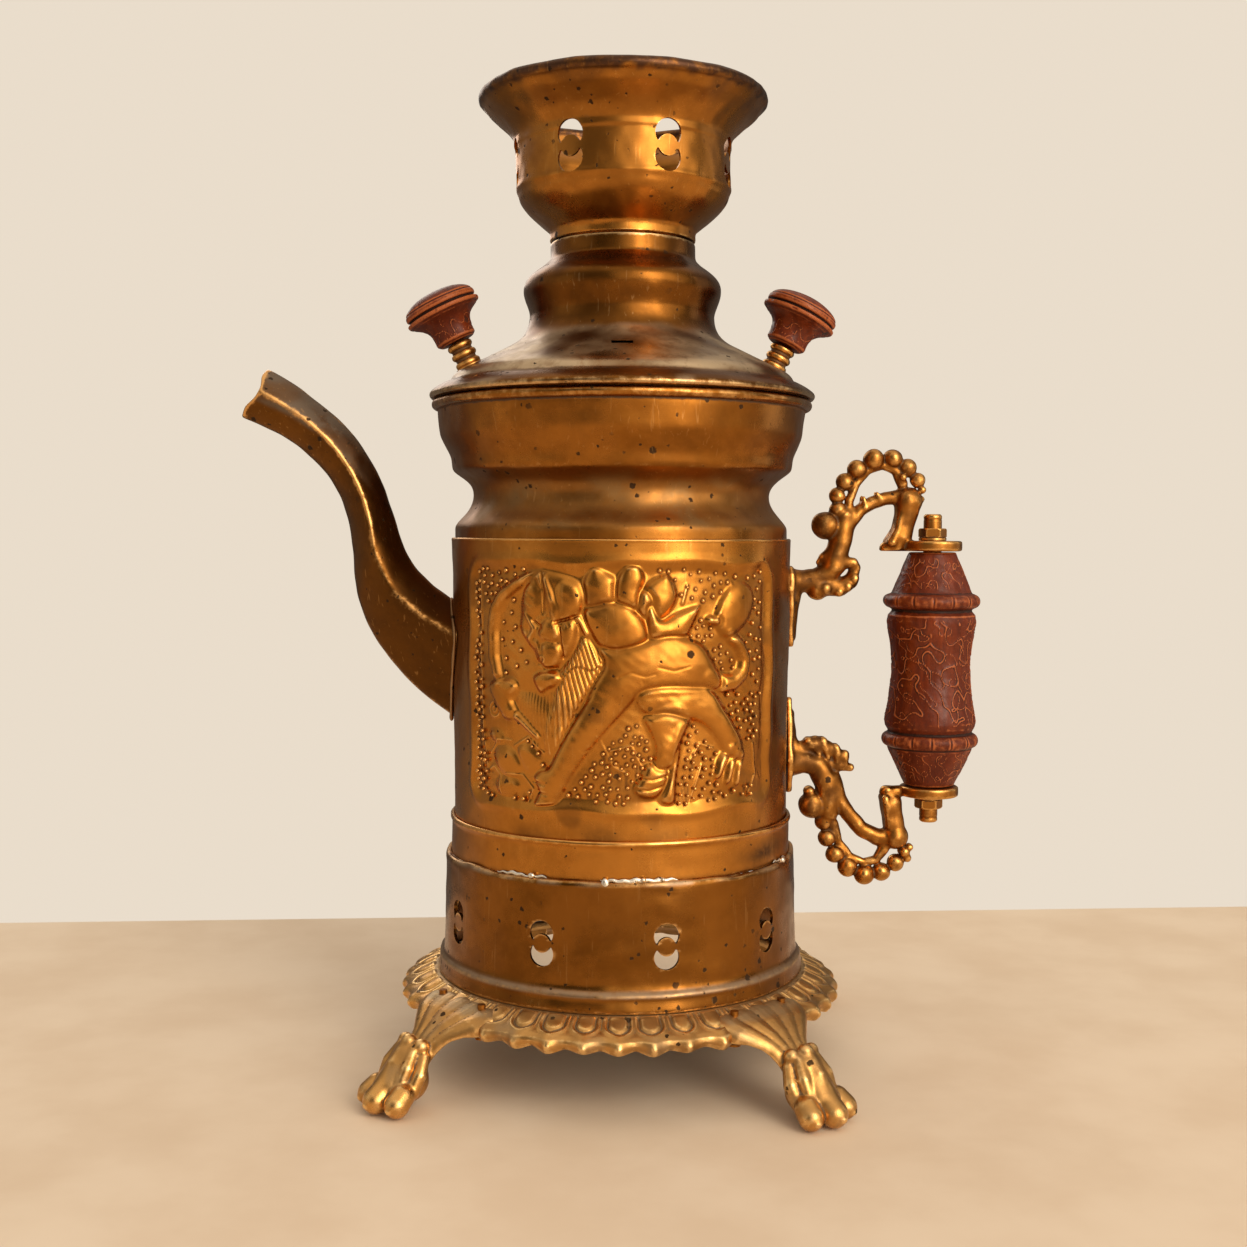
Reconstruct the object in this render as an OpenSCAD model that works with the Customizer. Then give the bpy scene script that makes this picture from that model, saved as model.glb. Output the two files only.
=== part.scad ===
// Charcoal samovar: a brass vessel round a central fire tube, on a pierced collar and a paw-foot ring.
// Millimetres, +Z up. The origin is on the vessel's axis, on the table under the paws.
// The front faces -Y, the spout points to -X and the grip stands at +X.

/* [Sheet and clearances] */
// Thickness of the spun and rolled brass sheet
sheet = 1.2; // [0.8:0.1:1.6]
// Air between pieces that lift off each other
lift_gap = 0.3; // [0.2:0.05:0.5]
// Radial air between pieces that slide into each other
plug_gap = 0.5; // [0.4:0.1:0.8]
// Radial running clearance of the grip on its rod
run_gap = 0.08; // [0.02:0.01:0.1]

/* [Barrel] */
// Outer radius of the barrel at its top seam
barrel_r = 70.8; // [68:0.2:73]
// How much narrower the barrel is at its bottom
barrel_taper = 1; // [0:0.1:2]
// Height of the barrel's bottom edge above the table
barrel_base = 102.6; // [98:0.5:108]
// Length of the barrel between its seams
barrel_len = 115; // [108:1:125]
// Height of each sunk panel
panel_h = 93; // [80:1:98]
// Half the angle that a panel spans
panel_span = 57; // [40:1:65]
// Depth of the sunk panels
panel_sink = 0.5; // [0.2:0.1:0.6]
// How far the panels' main raised forms stand above their ground
relief_h = 2.4; // [1:0.1:3]
// Turn of the panels from the front
panel_turn = -4; // [-10:1:10]
// Corner radius of the panels
panel_corner = 9; // [4:1:14]
// How far the barrel reaches down inside the band
barrel_lap = 8; // [4:0.5:10]
// Height of the plain band below the barrel
band_h = 16; // [12:1:20]
// How far the band's rib stands out
band_rib = 0.7; // [0.3:0.1:1.2]

/* [Neck of the vessel] */
// Height of the neck from the barrel's seam to the rim bead
neck_len = 54.6; // [50:0.5:60]
// How far the narrowest part of the neck is drawn in from the barrel
waist_in = 9.3; // [6:0.1:14]
// How far the shoulder under the rim stands out beyond the barrel
shoulder_out = 5.6; // [3:0.1:8]
// Radius of the rolled rim bead
rim_bead = 2.1; // [1.6:0.1:2.6]

/* [Fire tube] */
// Outer radius of the fire tube
tube_r = 28; // [26:0.5:28.2]
// How far the fire tube reaches below the vessel's floor
tube_drop = 5; // [3:0.5:8]
// Width of the ledge that carries the grate
ledge_w = 4.5; // [3:0.5:7]
// Height of the floor above the band's bottom edge
floor_up = 4; // [3:0.5:8]
// Height of the floor's collar round the fire tube
floor_collar = 5; // [3:0.5:8]
// Thickness of the cast grate
grate_t = 4; // [3:0.5:6]
// Width of the slots in the grate
slot_w = 4; // [3:0.5:5]
// Number of slots in the grate
slots = 5; // [3:1:6]

/* [Collar and ring] */
// Height of the collar's foot above the table
collar_base = 37.6; // [34:0.2:42]
// How far the collar's wall stands out beyond the band
collar_out = 2.6; // [2:0.1:4]
// How far the collar's foot stands out beyond its wall
collar_flare = 3.3; // [2:0.1:5]
// Height of the step near the collar's foot
collar_step = 7; // [5:0.5:9]
// Number of pierced figures in the collar
collar_figures = 9; // [5:1:9]
// Angle between the collar's figures
collar_pitch = 38; // [30:1:40]
// Angle of the collar's first figure from the front
collar_first = -28; // [-40:1:0]
// Radius of the round lobes of the collar's figures
collar_lobe = 4.9; // [3:0.1:6]
// Height of the whole ring lip at its outer edge
lip_h = 5.6; // [4:0.2:8]
// Width of the foot ring beyond the collar's foot
ring_w = 13.7; // [10:0.1:18]
// Fall of the ring's top from the collar to the lip
ring_fall = 5; // [3:0.5:8]
// Width of the ring's seat under the collar
ring_seat = 4.2; // [3:0.2:6]

/* [Feet] */
// How far the paws' middles stand out beyond the foot ring
leg_reach = 23.4; // [18:0.1:28]
// Angle of the first paw from the front
paw_first = -53; // [-60:1:-40]
// Width of a paw
paw_w = 25; // [20:0.5:28]
// Height of a paw's ankle
ankle_h = 18.5; // [16:0.5:22]
// Radius of a toe
toe_r = 5.6; // [4.5:0.1:6.5]
// Depth of the flat that each toe stands on
toe_flat = 0.4; // [0.2:0.1:0.8]
// Width of a leg where it meets the ring
leg_w = 44; // [36:1:50]
// Radius of the rivets that hold legs and brackets
rivet_r = 1.6; // [1.2:0.1:2]

/* [Lid] */
// How far the lid's flange stands out beyond the vessel's shoulder
lid_over = 3.9; // [2.5:0.1:6]
// Height of the lid from its seat to the top of its neck
lid_len = 64.6; // [60:0.2:70]
// Outer radius of the lid's neck, which carries the crown
throat_r = 30.1; // [29.8:0.1:33]
// Radius of the round bulge below the neck
bulge_r = 41; // [38:0.5:44]
// Depth of the ring that centres the lid in the mouth
skirt_h = 12; // [8:1:16]
// Length of the steam slot
steam_len = 8; // [5:0.5:12]
// Height of the steam slot
steam_h = 1.2; // [0.8:0.1:2]

/* [Knobs] */
// Distance of each knob's foot from the lid's outer edge
knob_in = 17.1; // [14:0.1:22]
// Radius of a knob's wooden head
knob_r = 16.2; // [12:0.2:18]
// Height of a knob's wood
knob_h = 22.5; // [18:0.5:26]
// Length of the turned stem between lid and wood
stem_len = 11.5; // [8:0.5:14]
// Radius of the stem's rings
stem_ring_r = 5.4; // [4:0.1:6.5]
// Radius of the stem's bolt
stem_bolt_r = 2.5; // [2:0.1:3]

/* [Crown] */
// Radius of the crown's rolled rim
crown_r = 60; // [55:0.5:64]
// Height of the crown above the lid's neck
crown_h = 60.6; // [56:0.2:66]
// Radius of the crown's wall
crown_wall_r = 44.6; // [42:0.2:48]
// Radius of the crown's rolled rim bead
crown_bead = 2.5; // [1.8:0.1:3]
// Length of the spigot that plugs into the fire tube
spigot_len = 14; // [8:1:20]
// Number of pierced figures in the crown
crown_figures = 7; // [5:1:8]
// Angle of the crown's first figure from the front
crown_first = -32; // [-45:1:0]
// Radius of the round lobes of the crown's figures
crown_lobe = 5.6; // [4:0.1:6.5]

/* [Spout] */
// Half width of the spout's tip
spout_tip_w = 11; // [8:0.5:13]
// Half width of the spout's root
spout_root_w = 17; // [14:0.5:20]
// Reach of the spout's tip from the barrel
spout_out = 86.6; // [80:0.2:92]
// Reach of the spout's elbow from the barrel
elbow_out = 41.6; // [36:0.2:46]
// Height of the spout's elbow above its root
elbow_rise = 65.4; // [60:0.2:70]
// Depth of the spout at its elbow
elbow_depth = 27; // [22:0.5:30]
// Height of the spout's tip above the vessel's rim, which keeps it above the water
spout_over = 15; // [8:0.5:20]
// Height of the spout's lower root above the barrel's bottom
spout_rise = 36; // [30:0.5:40]
// Height of the spout's root along the barrel
spout_root_h = 54; // [48:0.5:58]

/* [Grip] */
// Distance of the grip's axis from the barrel
grip_out = 62.2; // [56:0.2:68]
// Length of the wooden grip
grip_len = 99.8; // [90:0.2:110]
// Height of the grip's lower end above the barrel's bottom
grip_rise = 9.7; // [6:0.1:14]
// Largest radius of the grip's beads
grip_r = 20.6; // [17:0.2:22]
// Radius of the grip at its waist
grip_waist_r = 16.6; // [13:0.2:18]
// Radius of the rod through the grip
rod_r = 3.9; // [3:0.1:4.5]
// Length of rod that stands out beyond each nut
rod_end = 6; // [2:0.5:8]
// Thickness of the brackets' eyes
eye_t = 4.4; // [3:0.2:6]
// Radius of the brackets' eyes
eye_r = 12.5; // [10:0.5:14]
// Thickness of the rod's nuts
nut_t = 5.4; // [4:0.2:7]
// Radius of the small beads on the brackets' loops
bead_r = 3.7; // [3:0.1:4.5]
// Radius of the balls on the brackets
ball_r = 5.7; // [4.5:0.1:6.5]
// Radius of the brackets' arms
arm_r = 3.6; // [2.8:0.1:4.5]
// Width of the brackets' wall plates
plate_w = 13; // [10:0.5:18]
// Thickness of the brackets' wall plates
plate_t = 3; // [2:0.2:4]

/* [Hidden] */

lathe_fn = 96;
cut = 1;
brass = [0.72, 0.5, 0.2];
pewter = [0.6, 0.5, 0.32];
cast_brass = [0.8, 0.6, 0.25];
dark_wood = [0.35, 0.12, 0.07];
iron = [0.25, 0.24, 0.23];

shoulder_r = barrel_r + shoulder_out;
waist_r = barrel_r - waist_in;
seam_z = barrel_base + barrel_len;
neck_lap = 5;
ledge_r = barrel_r - sheet - 0.1;
barrel_foot_r = barrel_r - barrel_taper;
panel_z = barrel_base + (barrel_len - panel_h) / 2 + 1;
band_base = barrel_base - band_h;
band_r = barrel_foot_r + sheet;
rim_z = seam_z + neck_len;
rim_r = shoulder_r + rim_bead * 0.3;
mouth_r = shoulder_r - sheet - 1;
floor_z = band_base + floor_up;
floor_t = sheet + 0.4;
tube_in = tube_r - sheet;
tube_base = floor_z - tube_drop;
ledge_r_in = tube_in - ledge_w;
ledge_t = 2;
lid_r = shoulder_r + lid_over;
lid_z = rim_z + rim_bead + lift_gap;
throat_z = lid_z + lid_len;
throat_in = throat_r - sheet;
tube_top = throat_z - 1;
crown_z = throat_z + lift_gap;
crown_top = crown_z + crown_h;
spigot_r = tube_in - plug_gap;
spigot_in = spigot_r - 1;
grate_r = spigot_in - plug_gap;
grate_z = tube_base + ledge_t + 0.2;
collar_r = band_r + collar_out;
collar_foot_r = collar_r + collar_flare;
ring_r = collar_foot_r + ring_w;
paw_circle = ring_r + leg_reach;
collar_top = band_base + 1;
collar_seat = 1.3;
ring_in = collar_foot_r - ring_seat;
ring_t = 3.4;
spout_steps = 6;
// Where the spout's side ridge lies at its root, as a share of the root's height
ridge_share = 0.76;
strainer_z = barrel_base + spout_rise + spout_root_h * ridge_share;
grip_x = barrel_r + grip_out;
grip_base = barrel_base + grip_rise;
grip_top = grip_base + grip_len;
eye_gap = 0.4;
rod_low = grip_base - eye_gap - eye_t - nut_t - rod_end;
rod_high = grip_top + eye_gap + eye_t + nut_t + rod_end;
cove_r = bulge_r - 2.8;
cone_low = [lid_r - 11.8, lid_z + 10.9];
cone_high = [cove_r + 10.8, lid_z + 20.6];
knob_x = lid_r - knob_in;
lip_w = 3.2;
knob_lean = atan((cone_high[1] - cone_low[1]) / (cone_low[0] - cone_high[0]));
knob_foot = cone_low[1] + (cone_low[0] - knob_x) * tan(knob_lean);

// ---- Outlines: lists of [radius, height], drawn upwards with the metal on the inside ----

// Points along an arc about c
function arc(c, r, a0, a1, n = 8) = [for (i = [0:n])
    let(a = a0 + (a1 - a0) * i / n) c + r * [cos(a), sin(a)]];

// A run between two stations that leaves and arrives upright
function sway(p, q, n = 8) = [for (i = [0:n]) let(t = i / n)
    [p[0] + (q[0] - p[0]) * (1 - cos(180 * t)) / 2, p[1] + (q[1] - p[1]) * t]];

// Point at share t of a cubic curve
function cubic(k, t) = pow(1 - t, 3) * k[0] + 3 * t * pow(1 - t, 2) * k[1]
    + 3 * t * t * (1 - t) * k[2] + pow(t, 3) * k[3];

// Points along a cubic curve, without its last point
function curve(k, n = 8) = [for (i = [0:n - 1]) cubic(k, i / n)];

function unit(v) = v / norm(v);

// The outline moved to its left by t: inwards, for an outline drawn upwards
function inset(p, t) = [for (i = [0:len(p) - 1])
    let(d = unit(p[min(i + 1, len(p) - 1)] - p[max(i - 1, 0)])) p[i] + t * [-d[1], d[0]]];

function backwards(p) = [for (i = [len(p) - 1:-1:0]) p[i]];

// A spun shell with the given outer outline
module shell(p, t = sheet) {
    rotate_extrude($fn = lathe_fn) polygon(concat(p, backwards(inset(p, t))));
}

module tube(r, r_in, z, h) {
    translate([0, 0, z]) difference() {
        cylinder(r = r, h = h, $fn = lathe_fn);
        translate([0, 0, -cut]) cylinder(r = r_in, h = h + 2 * cut, $fn = lathe_fn);
    }
}

module bead_ring(r, z, bead) {
    translate([0, 0, z]) rotate_extrude($fn = lathe_fn) translate([r - bead, 0]) circle(r = bead, $fn = 24);
}

// ---- Pierced figures: two round lobes, one above the other, round a disc that stays ----

module figure(lobe, r, z) {
    depth = 8;
    web = lobe * 0.26;
    translate([0, 0, z]) rotate([90, 0, 0]) translate([0, 0, r - depth / 2]) difference() {
        union() for (side = [-1, 1]) translate([0, side * lobe * 0.82, 0])
            cylinder(r = lobe, h = depth, $fn = 32);
        translate([0, 0, -cut]) cylinder(r = lobe * 0.74, h = depth + 2 * cut, $fn = 32);
        translate([-2 * lobe, -web, -cut]) cube([4 * lobe, 2 * web, depth + 2 * cut]);
    }
}

// ---- Vessel ----

// The barrel's body above the band as a solid, grown by g
module barrel_body(g = 0) {
    translate([0, 0, barrel_base])
        cylinder(r1 = barrel_foot_r + g, r2 = barrel_r + g, h = barrel_len, $fn = lathe_fn);
}

module barrel_outline(g, over = 0) {
    rotate_extrude($fn = lathe_fn) polygon([[0, barrel_base - barrel_lap - over],
        [barrel_foot_r + g, barrel_base - barrel_lap - over], [barrel_foot_r + g, barrel_base],
        [barrel_r + g, seam_z], [barrel_r + g, seam_z + over], [0, seam_z + over]]);
}

// The sunk fields at front and back: round-cornered and wrapped round the barrel
module panel_fields() {
    w = 2 * barrel_r * sin(panel_span);
    for (side = [0, 1]) rotate([0, 0, panel_turn + 90 + side * 180]) difference() {
        intersection() {
            barrel_body(1);
            translate([0, 0, panel_z + panel_h / 2]) rotate([90, 0, 90])
                linear_extrude(barrel_r + 15) rounded(w, panel_h);
        }
        barrel_body(-panel_sink);
    }
}

module rounded(w, h) {
    union() {
        square([w - 2 * panel_corner, h], center = true);
        square([w, h - 2 * panel_corner], center = true);
        for (x = [-1, 1], y = [-1, 1]) translate([x * (w / 2 - panel_corner), y * (h / 2 - panel_corner)])
            circle(r = panel_corner, $fn = 32);
    }
}

// The picture on each panel, a striding beast with a sun at its back, as rows of places that its forms run
// through. A place is [across, up, half width]: the first as a share of the panel's half width, the others as
// shares of its half height.
picture = [
    [[-0.1, 0.53, 0.2], [0.06, 0.5, 0.2]],
    [[-0.07, 0.28, 0.17], [0.14, 0.22, 0.19], [0.47, 0.07, 0.24]],
    [[0.02, 0.12, 0.18], [-0.14, -0.22, 0.13], [-0.42, -0.88, 0.1]],
    [[0.36, 0, 0.14], [0.2, -0.24, 0.11], [0.14, -0.86, 0.09]],
    [[0.57, -0.14, 0.16], [0.69, -0.5, 0.09], [0.6, -0.88, 0.09]],
    [[0.56, 0.12, 0.07], [0.74, 0.14, 0.07], [0.6, 0.5, 0.06]],
    [[0.62, 0.56, 0.11], [0.71, 0.8, 0.13]],
    [[-0.45, 0.9, 0.06], [-0.76, 0.72, 0.07], [-0.76, 0.04, 0.07]],
    [[-0.71, -0.1, 0.1], [-0.52, -0.34, 0.07]],
    [[-0.38, 0.62, 0.27], [-0.4, 0.24, 0.16]],
    [[-0.5, 0.76, 0.1], [-0.28, 0.78, 0.12]],
    [[0.14, 0.62, 0.1], [0.44, 0.68, 0.05]],
    [[-0.14, 0.74, 0.12], [-0.16, 0.92, 0.05]],
    [[0.04, 0.74, 0.1], [0.06, 0.93, 0.05]],
    [[0.14, 0.74, 0.1], [0.22, 0.9, 0.05]],
    [[-0.24, 0.26, 0.12], [-0.38, -0.58, 0.06]]];

// One place of the picture, on the flat
function place(p) = [barrel_r * sin(p[0] * panel_span), p[1] * panel_h / 2];

// The picture's outline, with its forms at the share k of their width. A form ends a little narrower than the
// next one of its row starts, so that they share no edge.
module silhouette(k) {
    w = k * panel_h / 2;
    for (run = picture, i = [0:len(run) - 2]) let(p = place(run[i]), q = place(run[i + 1]),
        turn = atan2(q[1] - p[1], q[0] - p[0]))
        polygon(concat(arc(p, run[i][2] * w, turn + 90, turn + 270, 4),
            arc(q, run[i + 1][2] * w * 0.97, turn - 90, turn + 90, 4)));
}

// Both pictures up to the share h of the relief's height, with their forms at the share k of their width.
// A higher step starts further in, so that no two steps share an inner face.
module raised_forms(h, k) {
    start = barrel_r * (0.5 - 0.1 * h);
    for (side = [0, 1]) rotate([0, 0, panel_turn + 90 + side * 180]) intersection() {
        barrel_body(relief_h * h - panel_sink);
        translate([start, 0, panel_z + panel_h / 2]) rotate([90, 0, 90])
            linear_extrude(barrel_r) silhouette(k);
    }
}

// Holes that strain the water on its way into the spout
module strainer_holes() {
    hole_r = 1.8;
    pitch = 5.4;
    for (row = [-2:1], col = [-1:1])
        translate([0, col * pitch, strainer_z + row * pitch]) rotate([0, -90, 0])
            translate([0, 0, barrel_foot_r - 8]) cylinder(r = hole_r, h = 16, $fn = 24);
}

module barrel() color(brass) difference() {
    union() {
        difference() {
            barrel_outline(0);
            panel_fields();
        }
        raised_forms(h = 0.5, k = 1);
        raised_forms(h = 1, k = 0.6);
    }
    barrel_outline(-sheet, cut);
    strainer_holes();
    bracket_rivet_holes();
}

module lower_band() color(brass) difference() {
    union() {
        translate([0, 0, band_base]) cylinder(r = band_r, h = band_h, $fn = lathe_fn);
        bead_ring(band_r + band_rib * 0.4, barrel_base - 1, 1);
    }
    translate([0, 0, band_base - cut]) cylinder(r = band_r - sheet, h = band_h + 3, $fn = lathe_fn);
}

function neck_outline() = concat(
    [[ledge_r, seam_z - neck_lap], [ledge_r, seam_z + 3.4]],
    curve([[ledge_r, seam_z + 3.8], [ledge_r - 0.4, seam_z + 7], [waist_r, seam_z + 10.5],
        [waist_r, seam_z + 17.6]]),
    curve([[waist_r, seam_z + 17.6], [waist_r, seam_z + 24], [ledge_r + 0.4, seam_z + 25.5],
        [shoulder_r - 5.4, seam_z + 29]]),
    [[shoulder_r - 5.3, seam_z + 32.5]],
    sway([shoulder_r - 5, seam_z + 33.6], [shoulder_r - 1.4, seam_z + 41], 4),
    sway([shoulder_r - 1.2, seam_z + 42.5], [shoulder_r, rim_z - 2], 4));

module vessel_neck() color(pewter) union() {
    shell(neck_outline());
    bead_ring(rim_r + rim_bead, rim_z, rim_bead);
}

module vessel_floor() color(brass) difference() {
    union() {
        translate([0, 0, floor_z]) cylinder(r = band_r - sheet, h = floor_t, $fn = lathe_fn);
        tube(tube_r + sheet, tube_r, floor_z, floor_collar + floor_t);
    }
    translate([0, 0, floor_z - cut]) cylinder(r = tube_r, h = floor_t + 2 * cut, $fn = lathe_fn);
}

module fire_tube() color(iron) union() {
    tube(tube_r, tube_in, tube_base, tube_top - tube_base);
    tube(tube_r, ledge_r_in, tube_base, ledge_t);
}

module fire_grate() color(iron) difference() {
    translate([0, 0, grate_z]) cylinder(r = grate_r, h = grate_t, $fn = lathe_fn);
    reach = grate_r - 4;
    step = 2 * reach / (slots + 1);
    for (i = [1:slots]) let(x = i * step - reach, half = sqrt(reach * reach - x * x))
        translate([x - slot_w / 2, -half, grate_z - cut]) cube([slot_w, 2 * half, grate_t + 2 * cut]);
}

// ---- Collar, ring and feet ----

function collar_outline() = [[collar_foot_r, collar_base], [collar_foot_r, collar_base + 1],
    [collar_foot_r - 0.9, collar_base + collar_step - 1.4],
    [collar_foot_r - 0.7, collar_base + collar_step - 0.6],
    [collar_foot_r - 1.2, collar_base + collar_step + 0.4],
    [collar_r + 0.8, collar_base + collar_step + 3], [collar_r + 0.3, collar_base + collar_step + 20],
    [collar_r, collar_top - 5], [collar_r, collar_top - 1.5]];

// The collar's turned-in top, whose inner step carries the band and the vessel
function collar_rim() = [[band_r - sheet - 1, band_base - collar_seat],
    [collar_r - sheet, band_base - collar_seat],
    [collar_r - sheet, collar_top - collar_seat - 1], [collar_r, collar_top - collar_seat - 1],
    [collar_r, collar_top - 1.2], [collar_r - 0.6, collar_top - 0.4], [collar_r - 1.6, collar_top],
    [band_r, collar_top], [band_r, band_base], [band_r - sheet - 1, band_base]];

module base_collar() color(brass) difference() {
    union() {
        shell(collar_outline());
        rotate_extrude($fn = lathe_fn) polygon(collar_rim());
    }
    for (i = [0:collar_figures - 1]) let(k = i - floor(collar_figures / 2))
        rotate([0, 0, collar_first + k * collar_pitch]) figure(collar_lobe, collar_r, collar_base + 25);
}

function ring_outline() = [[ring_in, collar_base - ring_t], [ring_in, collar_base],
    [collar_foot_r + 0.6, collar_base], [ring_r - 2, collar_base - ring_fall],
    [ring_r, collar_base - ring_fall - 2], [ring_r - 0.6, collar_base - ring_fall - lip_h],
    [ring_r - 3, collar_base - ring_fall - lip_h], [ring_r - 4.4, collar_base - ring_fall - 3.4],
    [collar_foot_r, collar_base - ring_t]];

// The foot ring's cast section, with nothing cut
module ring_body() {
    rotate_extrude($fn = lathe_fn) polygon(ring_outline());
}

// Moves a leg's piece, drawn towards -Y from the axis, to leg i
module at_leg(i) {
    rotate([0, 0, paw_first + i * 90]) children();
}

// Two rivets of each leg; a looser radius cuts their holes
rivet_circle = collar_foot_r + 6;
lug_t = 2;
lug_base = collar_base - ring_fall - lip_h - lug_t;

module leg_rivets(r) {
    for (side = [-1, 1]) rotate([0, 0, side * 9]) translate([0, -rivet_circle, lug_base])
        cylinder(r = r, h = collar_base - lug_base, $fn = 24);
}

module foot_ring() color(cast_brass) difference() {
    ring_body();
    for (i = [0:3]) at_leg(i) leg_rivets(rivet_r);
}

module ball(p, r) {
    translate(p) sphere(r = r, $fn = 24);
}

// One leg with its paw and the lug under the ring
module paw(i) color(cast_brass) at_leg(i) difference() {
    root_h = lip_h + lug_t + 0.8;
    toe_z = toe_r - toe_flat;
    toe_x = paw_w / 2 - toe_r;
    heel = 8;
    union() {
        translate([-leg_w * 0.4, -ring_r - 1, lug_base]) cube([leg_w * 0.8, 15, root_h]);
        translate([0, -paw_circle, 0]) {
            hull() {
                translate([-leg_w / 2, paw_circle - ring_r + 0.5, lug_base]) cube([leg_w, 2.4, root_h]);
                translate([-leg_w / 4, paw_circle - ring_r - 8, lug_base - 1]) cube([leg_w / 2, 2, 6]);
            }
            hull() {
                translate([-leg_w / 4, paw_circle - ring_r - 8, lug_base - 1]) cube([leg_w / 2, 2, 6]);
                ball([0, heel, ankle_h - 3.5], 6);
            }
            hull() {
                ball([0, heel, ankle_h - 3.5], 6);
                ball([0, heel / 2, ankle_h - 8], 8.2);
                ball([0, -1, heel], heel);
            }
            hull() {
                ball([0, 1, heel], heel);
                for (x = [-toe_x, toe_x]) ball([x, -4, toe_z], toe_r - 0.4);
            }
            for (x = [-1, 0, 1]) ball([x * toe_x, -5.5 - 2 * (1 - abs(x)), toe_z], toe_r);
        }
    }
    translate([-paw_w, -paw_circle - paw_w, -20]) cube([2 * paw_w, 2 * paw_w, 20]);
    ring_body();
    leg_rivets(rivet_r);
}

module foot_rivets() color(brass) {
    head_h = 0.8;
    for (i = [0:3]) at_leg(i) {
        leg_rivets(rivet_r);
        for (side = [-1, 1]) rotate([0, 0, side * 9]) translate([0, -rivet_circle, lug_base - head_h])
            cylinder(r = rivet_r + 1, h = head_h, $fn = 24);
    }
}

// ---- Spout: a four-sided bent tube whose ridge runs along each side ----

spout_z = barrel_base + spout_rise;
spout_top = rim_z + spout_over;
root_x = 5 - barrel_r;
tip = [-barrel_r - spout_out, spout_top - spout_tip_w * 2];
tip_in = [-barrel_r - spout_out + spout_tip_w * 1.1, spout_top];
elbow = [-barrel_r - elbow_out, spout_z + elbow_rise];
elbow_in = elbow + elbow_depth * [0.745, 0.667];
spout_low = [[root_x, spout_z - 3], [-barrel_r - 28, spout_z + 18], elbow - [0, 22], elbow];
spout_high = [elbow, elbow + [0, 26], tip + [37.4, -13], tip];
throat_low = [[root_x, spout_z + spout_root_h - 3], [-barrel_r - 11, spout_z + spout_root_h + 8],
    elbow_in + [4.3, -15], elbow_in];
throat_high = [elbow_in, elbow_in + [-4.7, 16], tip_in + [40.3, -21.2], tip_in];

function edge(a, b) = concat(curve(a, spout_steps), curve(b, spout_steps), [b[3]]);

// The four corners of one cross-section, shrunk towards its middle by the wall t
function section(o, i, s, t) = let(
    share = s < 0.5 ? ridge_share - (ridge_share - 0.5) * 2 * s : 0.5 + 0.12 * (s - 0.5),
    w = s < 0.5 ? spout_root_w + (spout_tip_w + 1 - spout_root_w) * 2 * s : spout_tip_w + 2 * (1 - s),
    mid = o + (i - o) * share,
    core = (o + i + mid * 2) / 4,
    half = norm(i - o) / 2,
    k = 1 - t * norm([half, w]) / (half * w),
    at = function(q, y) [core[0] + (q[0] - core[0]) * k, y * k, core[1] + (q[1] - core[1]) * k])
    [at(o, 0), at(mid, -w), at(i, 0), at(mid, w)];

module spout_body(t, over = 0) {
    low = edge(spout_low, spout_high);
    high = edge(throat_low, throat_high);
    n = len(low);
    last = [for (p = section(low[n - 1], high[n - 1], 1, t)) p + over * [-1, 0, 0.55]];
    rings = concat([for (j = [0:n - 2]) each section(low[j], high[j], j / (n - 1), t)], last);
    sides = [for (j = [0:n - 2], c = [0:3]) let(a = 4 * j + c, b = 4 * j + (c + 1) % 4) [a, a + 4, b + 4, b]];
    polyhedron(rings, concat([[0, 1, 2, 3]], sides, [[4 * n - 1, 4 * n - 2, 4 * n - 3, 4 * n - 4]]));
}

module spout() color(brass) difference() {
    spout_body(0);
    spout_body(sheet + 0.2, 2);
    barrel_body();
}

// ---- Lid ----

function lid_outline() = concat(
    [[lid_r - lip_w, lid_z], [lid_r - 0.6, lid_z], [lid_r, lid_z + 1.2], [lid_r - 0.5, lid_z + 2.4],
        [lid_r - 3, lid_z + 4.4], [lid_r - 6, lid_z + 6], [lid_r - 8.5, lid_z + 6.9],
        [lid_r - 8.9, lid_z + 7.6],
        [lid_r - 9.8, lid_z + 9.2], cone_low],
    curve([cone_high, [cove_r + 4.8, lid_z + 23.6], [cove_r + 0.8, lid_z + 26.5], [cove_r, lid_z + 34]]),
    curve([[cove_r, lid_z + 34.5], [cove_r, lid_z + 38], [bulge_r - 0.1, lid_z + 41.5],
        [bulge_r, lid_z + 45.2]], 6),
    curve([[bulge_r, lid_z + 45.6], [bulge_r + 0.1, lid_z + 50.5], [throat_r + 5, lid_z + 53],
        [throat_r + 1.4, lid_z + 56]], 6),
    [[throat_r + 0.2, lid_z + 57.4], [throat_r, lid_z + 59], [throat_r, throat_z]]);

module steam_slot() {
    rotate([0, 0, panel_turn]) translate([-steam_len / 2, -cone_high[0] - 5, lid_z + 17.6])
        cube([steam_len, 16, steam_h]);
}

module lid_shell() color(pewter) difference() {
    shell(lid_outline());
    steam_slot();
    for (side = [-1, 1]) at_knob(side) translate([0, 0, -8])
        cylinder(r = stem_bolt_r + 0.15, h = 16, $fn = 24);
}

module lid_skirt() color(pewter) union() {
    tube(mouth_r - plug_gap, mouth_r - plug_gap - sheet, lid_z - skirt_h, skirt_h + 0.6);
    tube(lid_r - lip_w, mouth_r - plug_gap - sheet, lid_z, sheet);
}

// Moves a knob's piece from upright at the origin to its place on the lid
module at_knob(side) {
    translate([side * knob_x, 0, knob_foot]) rotate([0, side * knob_lean, 0]) children();
}

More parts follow.
